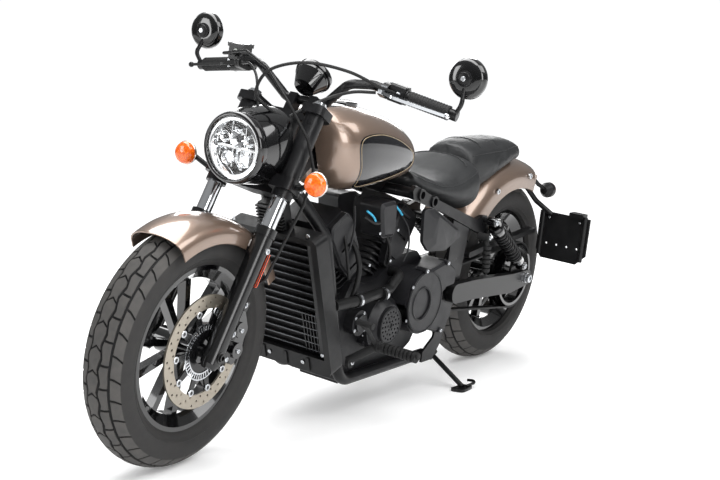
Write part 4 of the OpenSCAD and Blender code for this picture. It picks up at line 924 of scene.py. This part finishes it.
def plump(made, behind):
    """Foam under its cover: voxel remesh, a cloth run with pressure and no gravity, each point's way capped, and
    one level of subdivision."""
    bpy.context.view_layer.objects.active = made
    for m in list(made.modifiers):
        made.modifiers.remove(m)
    remesh = made.modifiers.new("voxels", "REMESH")
    remesh.mode, remesh.voxel_size, remesh.use_smooth_shade = "VOXEL", VOXEL, True
    bpy.ops.object.select_all(action="DESELECT")
    made.select_set(True)
    bpy.ops.object.modifier_apply(modifier="voxels")
    before = coordinates(made.data)
    cloth = made.modifiers.new("cover", "CLOTH")
    cloth.settings.use_pressure = True
    cloth.settings.uniform_pressure_force = PRESSURE
    cloth.settings.effector_weights.gravity = 0
    cloth.settings.quality = 4
    cloth.point_cache.frame_start, cloth.point_cache.frame_end = 1, CLOTH_FRAMES
    for f in range(1, CLOTH_FRAMES + 1):
        bpy.context.scene.frame_set(f)
    swollen = made.evaluated_get(bpy.context.evaluated_depsgraph_get()).to_mesh()
    after = coordinates(swollen)
    made.modifiers.remove(cloth)
    bpy.context.scene.frame_set(1)
    way = after - before
    far = np.linalg.norm(way, axis=1, keepdims=True)
    before = before + way * np.minimum(1, SWELL_CAP / np.maximum(far, 1e-9))
    p = parked(off_neighbours(row_to_upright(before), behind))
    made.data.vertices.foreach_set("co", p.astype(np.float32).reshape(-1))
    made.data.update()
    made.data.polygons.foreach_set("use_smooth", np.ones(len(made.data.polygons), bool))
    fine = made.modifiers.new("fine", "SUBSURF")
    fine.levels = fine.render_levels = 1


def foam(name, rows, behind, node):
    """One padded piece from its table of sections."""
    grid = section_skin(rows, 70, 96)
    made = piece(name, shell(placed(grid, parked)), seat_vinyl, "chassis")
    plump(made, behind)
    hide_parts(node)
    print(name, "points", len(made.data.vertices))
    return made


seat_cover = foam("seat_cover", SEAT_ROWS, tail_line, "seat")
pad_cover = foam("pillion_cover", PAD_ROWS, seat_front, "pillion_pad")


# %% Welts and stitches
def on_surface(made, points, lift):
    """The nearest points of a mesh to given row points, moved out along the surface's normal."""
    tree = BVHTree.FromObject(made, bpy.context.evaluated_depsgraph_get())
    out = []
    for p in points:
        at, normal = tree.find_nearest(Vector(p))[:2]
        out.append(at + normal * lift)
    return np.array(out)


def seat_line(rows, angle, x_from, x_to, count=40):
    """A line along a table's sections at one angle of the superellipse, in the upright drawing."""
    x = np.linspace(x_from, x_to, count)
    high, low, w, n = section_at(rows, x, 300)
    c, s = math.cos(angle), math.sin(angle)
    z = (high + low) / 2 + (high - low) / 2 * rounded(s, 2 / n)
    return np.stack([x, w * rounded(c, 2 / n), z], -1)


def as_is(p):
    """The mover of points that are in row metres already."""
    return p


def welt(name, made, points, radius=0.0017):
    """Piping laid along a line on the cover."""
    path = on_surface(made, parked(points), radius * 0.35)
    rings = swept(path[::2], radius, as_is, max(60, len(path) * 3), 8)
    piece(name, rings, seat_vinyl, "chassis")


def stitches(name, made, points, spacing=0.0075, length=0.0042, radius=0.0007):
    """A row of single stitches, each a small spindle lying along the line."""
    path = on_surface(made, parked(points), radius * 0.4)
    fine = smooth_path(path, 1200)
    run = np.concatenate([[0], np.cumsum(np.linalg.norm(np.diff(fine, axis=0), axis=1))])
    mid = np.arange(spacing, run[-1] - spacing, spacing)
    a = np.stack([np.interp(mid - length / 2, run, fine[:, k]) for k in range(3)], -1)
    b = np.stack([np.interp(mid + length / 2, run, fine[:, k]) for k in range(3)], -1)
    d = unit(b - a)
    u = unit(np.cross(d, UP))
    w = np.cross(u, d)
    t = np.linspace(0, 2 * math.pi, 6, endpoint=False)
    along = np.array([0, 0.15, 0.85, 1.0])
    thick = np.array([0.3, 1.0, 1.0, 0.3]) * radius
    ring = np.cos(t)[None, None, :, None] * u[:, None, None] + np.sin(t)[None, None, :, None] * w[:, None,
                                                                                                  None]
    rings = a[:, None, None] + along[None, :, None, None] * (b - a)[:, None, None] + thick[None, :, None,
                                                                                           None] * ring
    piece(name, sum((shell(one) for one in rings), []), seat_thread, "chassis")


for sign, label in SIDES:
    turn_to = (lambda a: a) if sign > 0 else (lambda a: math.pi - a)
    line = seat_line(SEAT_ROWS, turn_to(math.radians(28)), -112, -428)
    welt("seat_welt_" + label, seat_cover, line)
    stitches("seat_stitch_" + label, seat_cover, seat_line(SEAT_ROWS, turn_to(math.radians(36)), -118, -424))
    line = seat_line(PAD_ROWS, turn_to(math.radians(30)), -462, -782)
    welt("pad_welt_" + label, pad_cover, line)
    stitches("pad_stitch_" + label, pad_cover, seat_line(PAD_ROWS, turn_to(math.radians(38)), -466, -778))
# The rear bolster's seam, an arc across the seat ahead of the pad
arc = np.linspace(-1, 1, 41)
bolster = np.stack([-402 + 34 * arc ** 2, 128 * arc, np.full(41, 760.0)], -1)
welt("seat_bolster_welt", seat_cover, bolster)
across_pad = np.stack([-520 - 10 * (1 - arc ** 2), 92 * arc, np.full(41, 800.0)], -1)
welt("pad_cross_welt", pad_cover, across_pad)
print("welts and stitches laid")

# %% [markdown]
# ## Headlight and signals
# The lamp is a bright module behind clear plastic: a shelf runs across it, with reflector cups above and below
# and fins between them. A gloss bezel holds the lens. The signals are amber domes on black stalks, and a strip of
# reflector sits on each fork slider.


# %% Headlight
def block(low, high, to_row, soft=0.8):
    """A box from its corners in mm, with its edges cut by a small chamfer: four rings of eight points."""
    low, high = np.asarray(low, float), np.asarray(high, float)
    c, h = (low + high) / 2, (high - low) / 2
    soft = min(soft, 0.45 * h.min())

    def outline(steps):
        """The box's outline with cut corners, drawn in by so many steps of the chamfer."""
        return [(x * (h[0] - soft * (steps + (k == 0))), y * (h[1] - soft * (steps + (k == 1))))
                for i, (x, y) in enumerate(((-1, -1), (1, -1), (1, 1), (-1, 1)))
                for k in ((0, 1) if i % 2 == 0 else (1, 0))]

    levels = [(-h[2], 1), (-h[2] + soft, 0), (h[2] - soft, 0), (h[2], 1)]
    rings = np.stack([np.column_stack([outline(steps), np.full(8, z)]) for z, steps in levels]) + c
    return shell(placed(rings, to_row))


LAMP_AT = np.array([648.0, 0, 818])
LENS = [(1.5, 79), (3.5, 79.5), (6, 76), (9.5, 66), (12.5, 50), (14.2, 30), (15, 8), (15, 0.2), (13, 0.2),
        (13, 8),
        (12.2, 30), (10.5, 50), (7.5, 66), (4, 75), (1.5, 77)]
BEZEL = [(-14, 93), (-2, 93.5), (6, 92.5), (11, 89.5), (13, 85.5), (12, 82), (7, 80), (2, 79.5), (-6, 82)]
RING = [(-1, 79.5), (1.4, 79), (2, 76.5), (0, 74.5), (-3, 74.5)]
piece("headlight_lens", turned(LENS, LAMP_AT, AHEAD, steered, 72, True), lens_glass, "steering",
      split=math.radians(80))
piece("headlight_bezel", turned(BEZEL, LAMP_AT, AHEAD, steered, 96, True), lacquer_black, "steering",
      math.radians(70))
piece("headlight_ring", turned(RING, LAMP_AT, AHEAD, steered, 96, True), zinc_plate, "steering")
dark_module = finish("lamp_module", "#15161a", "#202228", 0.2, grain=1.0)
cups, cores = [], []
for y, z, r, core in ((-26, -30, 17, 5.5), (26, -30, 17, 5.5), (0, 24, 22, 7), (-40, 22, 14, 4),
                      (40, 22, 14, 4)):
    at = LAMP_AT + [0, y, z]
    cups += turned([(-30.5, 0.2), (-30, r * 0.42), (-24, r * 0.62), (-16, r * 0.85), (-9, r), (-8, r + 0.8),
                    (-9, r + 1.6), (-16, r * 0.85 + 1.5), (-24, r * 0.62 + 1.5), (-32, r * 0.42 + 1.5),
                    (-32.5, 0.2)], at, AHEAD, steered, 36)
    cores += turned([(-31, core), (-22, core), (-20, core * 0.7), (-19.4, 0.2)], at, AHEAD, steered, 20)
piece("headlight_cups", cups, reflector_metal, "steering")
piece("headlight_cores", cores, dark_module, "steering")
# The shelf's lip, and bright fins between the cups
fins = block(LAMP_AT + [-20, -62, -4], LAMP_AT + [-10, 62, 1], steered)
for y, low, high in ((-54, -34, -6), (-13, -52, -6), (13, -52, -6), (54, -34, -6), (-22, 4, 54), (22, 4, 54)):
    fins += block(LAMP_AT + [-34, y - 1.2, low], LAMP_AT + [-12, y + 1.2, high], steered, 0.4)
piece("headlight_fins", fins, reflector_metal, "steering")

# %% Signals and reflectors
FORK_Y, LEG_R = 105.0, 26.0
SIGNAL_DOME = [(0, 30.2), (7, 30.4), (13, 28.3), (18.5, 25.2), (21.3, 15), (22.3, 0.2)]
SIGNAL_RIM = [(-7, 28), (-3.5, 32.2), (1.5, 32.8), (3.2, 31.6), (3.2, 29.6)]
TAIL_LENS = [(-2, 26.6), (4, 27), (8, 25.5), (12, 19.6), (14, 10), (14.6, 0.2)]
# The strip stands on the slider's outer rear face, so far round from straight ahead
STRIP_BEARING = math.radians(135)
domes, rims, strips, tails = [], [], [], []
for sign in (1, -1):
    at = (572.5, sign * 210, 760)
    domes += turned(SIGNAL_DOME, at, AHEAD, steered, 48)
    rims += turned(SIGNAL_RIM, at, AHEAD, steered, 48, True)
    out = np.array([math.cos(STRIP_BEARING), sign * math.sin(STRIP_BEARING), 0])
    strip_place = in_axes((FORK_OFFSET, sign * FORK_Y, 245), (out, (-out[1], out[0], 0), UP), forked)
    strips += block((LEG_R + 0.2, -8, -46), (LEG_R + 7, 8, 46), strip_place, 1.6)
    tails += turned(TAIL_LENS, (-996, sign * 110, 606), -AHEAD, parked, 40)
pale_rim = finish("signal_rim_chrome", "#c9c6c0", "#d9d6d0", 0.16, metal=0.9, grain=2.0, relief=0.01)
smoked_red = prism_lens("smoked_red_acrylic", "#3a0606", "#5c0a08", 0.02)
piece("signal_lenses", domes, amber_lens, "steering", SOFT_SPLIT)
piece("signal_rims", rims, pale_rim, "steering")
piece("fork_reflectors", strips, red_reflector, "steering")
piece("tail_lenses", tails, smoked_red, "chassis", split=SOFT_SPLIT)
print("lamps dressed")

# %% [markdown]
# ## Wheels and brakes
# Each rotor floats on ten bright bobbins, and a thin slotted ring beside the front hub serves the wheel-speed
# sensor. Two plated bolts hold the caliper, and one on each leg pinches the axle.

# %% Bobbins and slotted ring
BOBBIN = [(-0.5, 9.6), (1.6, 9.6), (2.4, 8.8), (2.4, 5.4), (0.8, 5.0), (0.8, 0.3)]


def around(count, radius, y, centre):
    """Points on a circle round an axle."""
    t = np.arange(count) * 2 * math.pi / count
    return centre + np.stack([radius * np.cos(t), np.full(count, y), radius * np.sin(t)], -1)


def slotted_ring(r_in, r_out, y, slots, centre, to_row, thick=1.4):
    """Two hoops joined by bars: each hoop is a square section turned about the axle, and each bar a block."""
    parts = []
    for a, b in ((r_in, r_in + 3.5), (r_out - 3, r_out)):
        parts += turned([(y, a), (y, b), (y + thick, b), (y + thick, a)], centre, LEFT, to_row, 96, True)
    for k in range(slots):
        bar_place = in_axes(centre, about_y(k * 2 * math.pi / slots), to_row)
        parts += block((r_in + 3, y + 0.1, -1.3), (r_out - 2.5, y + thick - 0.1, 1.3), bar_place, 0.2)
    return parts


for name, y, centre, side, mover, body in (
        ("rotor_bobbins", 73.5, FRONT_AXLE, LEFT, steered, "front_wheel"),
        ("rear_rotor_bobbins", -100.0, REAR_AXLE, RIGHT, parked, "rear_wheel")):
    bobbins = [turned(BOBBIN, at, side, mover, 20) for at in around(10, 107, y, centre)]
    piece(name, sum(bobbins, []), zinc_plate, body)
piece("speed_ring", slotted_ring(55, 74, 74.2, 44, FRONT_AXLE, steered), lever_alloy, "front_wheel")
print("rotors dressed")


# %% Screws: body, mover and rows of place and head radius
def both(*rows):
    """The rows as they stand on the left, and the same mirrored to the right."""
    return [(x, sign * y, z, r) for sign in (1, -1) for x, y, z, r in rows]


SCREWS = {
    "fork_screws": ("steering", forked, [
        (FORK_OFFSET - 30, FORK_Y + 8.2, 70, 8), (FORK_OFFSET - 30, FORK_Y + 8.2, 150, 8),
        *both((FORK_OFFSET, FORK_Y + LEG_R - 0.6, 292, 8.5), (FORK_OFFSET - 22, FORK_Y + 34.4, 474, 6))]),
    "axle_screws": ("steering", steered, both((745, FORK_Y + 13.2, 306, 7))),
    "caliper_screws": ("steering", steered, [(683, 108.2, 312, 6.5), (676, 108.2, 366, 6.5)]),
    "cover_screws": ("chassis", parked, [
        (-104, 175.2, 434, 6), (-226, 175.2, 444, 6), (-226, 175.2, 228, 6), (-38, 171.2, 392, 5),
        (-32, 164.5, 288, 5), (112, 112.2, 310, 5), (114, 112.2, 256, 5), (54, 112.2, 361, 5),
        (-34.2, 112.2, 256, 5), (53.7, 112.2, 205, 5), (176, 122.3, 318, 5), (128, 122.3, 276, 5),
        (178, 122.3, 282, 5), (136, 122.3, 328, 5)]),
    "small_plugs": ("chassis", parked, [
        (132, 119.6, 470, 4.6), (24, 119.6, 470, 4.6), (96, 119.6, 560, 4.6), (0, 119.6, 560, 4.6)]),
    "guard_screws": ("chassis", parked, both((-620, 105.2, 627, 10), (-842, 105.2, 664, 10))),
    "arm_nuts": ("chassis", parked, [
        (-781, 180, 323, 15), (-781, -178, 323, 15),
        *both((-330, 138.5, 330, 17), (-738, 182, 372, 9), (-493, 182, 547, 10))]),
    "peg_screws": ("chassis", parked, both((200, 140.2, 196, 8), (165, 206.2, 252, 6),
                                           (-468, 178.2, 498, 7))),
}
for name, (body, mover, rows) in SCREWS.items():
    heads = [hex_screw((x, y, z), LEFT if y > 0 else RIGHT, r, mover) for x, y, z, r in rows]
    piece(name, sum(heads, []), zinc_plate, body)
heads = [hex_screw((x, y, 510), axis, 4.5, parked)
         for x, axis in ((-1000, AHEAD), (-1006, -AHEAD)) for y in (126, 246)]
piece("plate_screws", sum(heads, []), zinc_plate, "chassis")
print("screw groups", len(SCREWS) + 1)

# %% [markdown]
# ## Handlebar
# Ribbed rubber sleeves cover the grips, and the mirrors hang from the bar's ends. The dial has plain ticks and no
# lettering. Three cables leave the controls in long loops, as they do in the photograph.

# %% Grips, switches and mirrors
along = np.arange(-116, -3, 2.0)
ribs = np.where((np.arange(len(along)) // 2) % 2 == 0, 18.75, 19.7)
GRIP = [(-118, 17), *zip(along, ribs), (-2.5, 19.9), (-1.0, 19.2), (-1.0, 13.2)]
MIRROR_PARTS = [
    ("back", lacquer_black, AHEAD, 72, SOFT_SPLIT,
     [(-6.4, 51.2), (-9, 52.6), (-6, 54.2), (6, 52.6), (13, 48), (16.5, 40), (18, 26), (18.4, 0.2)]),
    ("glass", reflector_metal, -AHEAD, 72, SPLIT_ANGLE, [(6.2, 51.4), (7.8, 50.9), (7.8, 0.2)]),
    ("boss", powder_coat, AHEAD, 40, SPLIT_ANGLE, [(17, 22), (22, 21), (24, 17), (26, 16), (28, 10),
                                                   (28, 0.2)]),
    ("pivot", zinc_plate, AHEAD, 24, SPLIT_ANGLE, [(27.5, 7.5), (30, 7), (31, 5.5), (31, 0.2)])]
for sign, label in SIDES:
    piece("grip_sleeve_" + label, turned(GRIP, (0, 0, 0), (0, 0, 1), on_bar(sign), 40), grip_rubber,
          "steering")
    # Switch blocks: a rocker, a slider and two round buttons on the rider's side
    place = on_bar(sign, 168.0)
    keys = block((-29, -10, 8), (-23.5, 2, 20), place, 1.2) + block((-28, -6, 24), (-23.5, 8, 33), place, 1.2)
    keys += turned([(-1, 5), (2.4, 5), (3.2, 4.2), (3.2, 0.2)], (-24, 12, 14), -AHEAD, place, 20)
    keys += turned([(-1, 4), (2.4, 4), (3.0, 3.4), (3.0, 0.2)], (-24, -16, 28), -AHEAD, place, 20)
    piece("switch_keys_" + label, keys, cover_satin, "steering")
    pins = hex_screw((38, 5.5, -4), (0, 1, 0), 5.5, on_bar(sign, 134.0))
    pins += hex_screw((38, -9.2, -4), (0, -1, 0), 5.5, on_bar(sign, 134.0))
    pins += hex_screw((-12, -20.2, 9), (0, -1, 0), 3.4, on_bar(sign, 190.0))
    piece("control_screws_" + label, pins, zinc_plate, "steering")
    for part, material, axis, sides, split, profile in MIRROR_PARTS:
        rings = turned(profile, (259, sign * 430, 1061), axis, steered, sides)
        piece("mirror_" + part + "_" + label, rings, material, "steering", split=split)

# %% Lever ends and reservoir
BALL = [(-8, 0.2), (-7, 3.6), (-4.5, 6.4), (-1, 7.8), (2, 7.8), (5.5, 6.0), (8, 2.4), (8.4, 0.2)]
for name, sign, material in (("clutch_lever_end", 1, lever_alloy), ("brake_lever_end", -1, powder_coat)):
    end = turned(BALL, (49, 0, 130), (0, 0, 1), on_bar(sign, GRIP_LENGTH), 28)
    piece(name, end, material, "steering", split=SOFT_SPLIT)
trim = block((288.2, -292, 1043.5), (337.8, -234.2, 1048.2), steered, 2.4)
trim += block((291.2, -288.8, 1000), (334.8, -237.2, 1006), steered, 1.2)
piece("reservoir_trim", trim, lacquer_black, "steering")
sight_glass = finish("reservoir_sight_glass", "#5b6258", "#6c7367", 0.12, grain=2.0, relief=0.005, coat=1.0)
window = turned([(-1, 8), (1.2, 8), (2, 7), (2, 0.2)], (334.2, -263, 1026), AHEAD, steered, 28)
piece("reservoir_window", window, sight_glass, "steering")
lid_screws = [hex_screw((x, y, 1048), UP, 3.2, steered) for x in (296, 330) for y in (-284, -242)]
piece("reservoir_screws", sum(lid_screws, []), zinc_plate, "steering")

# %% Gauge
GAUGE_AT, GAUGE_UP = np.array([322.0, 0, 1001]), np.array([-0.78, 0, 0.62])
GAUGE_UP /= np.linalg.norm(GAUGE_UP)
dial = finish("dial_print", "#0b0c0e", "#101114", 0.5, grain=1.0, relief=0.005)
dial_mark = finish("dial_ink", "#c9ced2", "#d6dadd", 0.5, grain=1.0, relief=0.004)
for part, material, sides, split, profile in (
        ("bezel", lacquer_black, 96, SOFT_SPLIT,
         [(-7.5, 53.6), (2, 54.2), (5.8, 52.4), (6.8, 49.5), (5.4, 46.8), (0, 46.4)]),
        ("dial", dial, 72, SPLIT_ANGLE, [(-3.6, 45.8), (-1.2, 45.8), (-1.2, 0.2)]),
        ("glass", lens_glass, 72, SOFT_SPLIT, [(1.4, 46.2), (3.2, 46.2), (4.2, 30), (4.6, 0.2)])):
    rings = turned(profile, GAUGE_AT, GAUGE_UP, steered, sides, part == "bezel")
    piece("gauge_" + part, rings, material, "steering", split=split)
U_DIAL, V_DIAL, _ = basis(GAUGE_UP)
ticks = []
for k in range(25):
    a = math.radians(-120 + 10 * k)
    rim_way = math.cos(a) * V_DIAL + math.sin(a) * U_DIAL
    tick_place = in_axes(GAUGE_AT, (rim_way, np.cross(GAUGE_UP, rim_way), GAUGE_UP), steered)
    ticks += block((40 if k % 3 else 35, -0.6, -1.4), (43, 0.6, -0.7), tick_place, 0.1)
piece("gauge_ticks", ticks, dial_mark, "steering")


# %% Cables
def lines(name, runs, material, body, to_row, count, sides):
    """Round lines joined as one piece: runs are rows of points and radius."""
    tubes = [swept(points, radius, to_row, count, sides) for points, radius in runs]
    piece(name, sum(tubes, []), material, body, split=TUBE_SPLIT)


for name, radius, points in (
        ("clutch_cable", 4.2, [[330, 262, 996], [372, 232, 1010], [440, 176, 1040], [520, 96, 1050],
                               [580, 30, 1020],
                               [598, 10, 960], [575, 36, 925], [545, 62, 905]]),
        ("throttle_cable", 3.6, [[335, -240, 1004], [380, -200, 1002], [430, -140, 1010], [480, -80, 990],
                                 [520, -40, 950], [536, -22, 920]]),
        ("bar_loom", 4.4, [[333, 205, 988], [372, 158, 982], [420, 116, 960], [470, 84, 930],
                           [505, 60, 905]])):
    lines(name, [(points, radius)], hose_rubber, "steering", steered, 90, 12)
print("handlebar dressed")

# %% [markdown]
# ## Springs, radiator and engine dress
# The CAD shock is a stack of discs, so a real coil spring takes its place. The radiator's louvres get their bright
# edges, and hoses and wires run between the cylinders.

# %% Coil springs
TOP_EYE, LOW_EYE = np.array([-493.0, 168, 547]), np.array([-738.0, 168, 372])
SPAN = np.linalg.norm(LOW_EYE - TOP_EYE)
DOWN = (LOW_EYE - TOP_EYE) / SPAN
EYE = [(-14, 12), (-14, 14.4), (-12, 15), (12, 15), (14, 14.4), (14, 12)]
COLLAR = [(30, 26.3), (32, 27.2), (38, 27.2), (40, 26.3)]
# Sides and profile of the upper cup, the damper and the lower cup
SHOCK_BODY = [
    (48, [(12, 9), (22, 9), (24, 22), (30, 26), (58, 26), (62, 24), (62, 9)]),
    (40, [(60, 10), (60, 17.5), (SPAN - 60, 17.5), (SPAN - 60, 10)]),
    (48, [(SPAN - 68, 9), (SPAN - 68, 25), (SPAN - 62, 26), (SPAN - 56, 22), (SPAN - 30, 20), (SPAN - 24, 17),
          (SPAN - 10, 9)])]


def helix(start, end, radius, wire, turns, at, axis, to_row, count=420, sides=10):
    """Coil: the centre runs p = at + s n + r (cos a u + sin a v), closing up over the first and last turn."""
    t = np.linspace(0, 1, count)
    pitch = t - 0.035 * np.sin(2 * math.pi * t)
    u, v, n = basis(axis)
    a = 2 * math.pi * turns * t
    ring = np.cos(a)[:, None] * u + np.sin(a)[:, None] * v
    path = np.asarray(at) + (start + (end - start) * pitch)[:, None] * n + radius * ring
    tangent = unit(np.gradient(path, axis=0))
    side = unit(np.cross(tangent, unit(path[-1] - path[0])))
    return tube(path, wire, side, np.cross(tangent, side), to_row, sides)


shock_parts, coils, collars = [], [], []
for sign in (1, -1):
    top_eye, low_eye, down = (v * [1, sign, 1] for v in (TOP_EYE, LOW_EYE, DOWN))
    for eye in (top_eye, low_eye):
        shock_parts += turned(EYE, eye, LEFT, parked, 36)
    for sides, profile in SHOCK_BODY:
        shock_parts += turned(profile, top_eye, down, parked, sides)
    coils += helix(66, SPAN - 71, 22.6, 4.0, 9.0, top_eye, down, parked)
    collars += turned(COLLAR, top_eye, down, parked, 48)
shocks = piece("shock_bodies", shock_parts, lacquer_black, "chassis")
piece("shock_springs", coils, powder_coat, "chassis", split=SOFT_SPLIT)
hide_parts("shocks")
piece("shock_collars", collars, cast_black, "chassis")

# %% Radiator edges and clips
TILT, LOUVRE_TURN, LOUVRE_PITCH = math.radians(19.4), math.radians(-25), 23.07
radiator_place = in_axes((302, 0, 178), about_y(-TILT), parked)
edges = []
for i in range(16):
    z = 60 + i * LOUVRE_PITCH
    tip = np.array([-15 + 12 * math.cos(LOUVRE_TURN), 0, z - 12 * math.sin(LOUVRE_TURN)])
    edges += block(tip + [-0.6, -115, -0.4], tip + [0.9, 115, 2.2], radiator_place, 0.5)
# Grey metallic strips along the louvre tips, lighter than the black shroud
edge_paint = finish("grey_louvre_edge", "#56585b", "#6a6c6f", 0.3, metal=0.7, grain=1.2)
piece("louvre_edges", edges, edge_paint, "chassis")
CLIP = [(-0.5, 6), (1.4, 6), (2.2, 5), (2.2, 2.4), (1.2, 2.2), (1.2, 0.2)]
clips = []
for y, z in ((-128, 440), (128, 440), (-128, 66), (128, 66), (-60, 30), (60, 30)):
    clips += turned(CLIP, (6.5 if z > 60 else 16, y, z), AHEAD, radiator_place, 20)
piece("radiator_clips", clips, zinc_plate, "chassis")

# %% Cover beads, hoses and wires
beads = []
for at, sides, profile in (
        ((-101, 171, 332), 96, [(-0.5, 47), (2.2, 48), (3.0, 50.5), (2.2, 53), (-0.5, 54)]),
        ((-121, 171, 334), 120, [(-0.5, 90), (1.6, 91), (2.2, 93.5), (1.6, 96), (-0.5, 97)]),
        ((40, 158, 283), 96, [(-0.5, 50), (1.8, 51), (2.4, 52.6), (1.8, 54), (-0.5, 55)])):
    beads += turned(profile, at, LEFT, parked, sides, True)
piece("cover_beads", beads, cast_black, "chassis", split=SOFT_SPLIT)
sleeve = finish("blue_wire_sleeve", "#2f93b8", "#44a6c8", 0.4, grain=1.0, relief=0.01)
lines("wire_sleeves", [
    ([[150, 104, 628], [128, 112, 612], [112, 112, 596]], 3.2),
    ([[-6, 100, 628], [-22, 106, 612], [-34, 108, 600]], 3.0)], sleeve, "chassis", parked, 24, 12)
lines("engine_hoses", [
    ([[206, 88, 560], [186, 104, 520], [180, 118, 470], [190, 122, 420], [205, 120, 380]], 8.0),
    ([[60, 92, 575], [40, 110, 540], [20, 112, 500], [8, 104, 455]], 5.0),
    ([[150, 96, 610], [110, 108, 590], [70, 106, 592], [30, 96, 612]], 6.0),
    ([[230, 60, 600], [238, 96, 560], [236, 112, 500], [226, 118, 440]], 4.5)],
      hose_rubber, "chassis", parked, 60, 12)
lines("engine_wires", [
    ([[-40, 100, 600], [-60, 118, 560], [-64, 124, 500], [-50, 120, 460]], 3.0),
    ([[10, 90, 640], [-20, 104, 620], [-52, 108, 600], [-90, 100, 585]], 3.4),
    ([[180, 80, 640], [200, 100, 600], [214, 108, 560], [222, 106, 520]], 3.0)],
      cover_satin, "chassis", parked, 50, 8)
CLAMP = [(-5, 18.4), (-5, 19.4), (5, 19.4), (5, 18.4)]
clamps = [turned(CLAMP, (x, 149, 384), AHEAD, parked, 32) for x in (214, 84)]
piece("hose_clamps", sum(clamps, []), zinc_plate, "chassis")
print("dress pieces done")
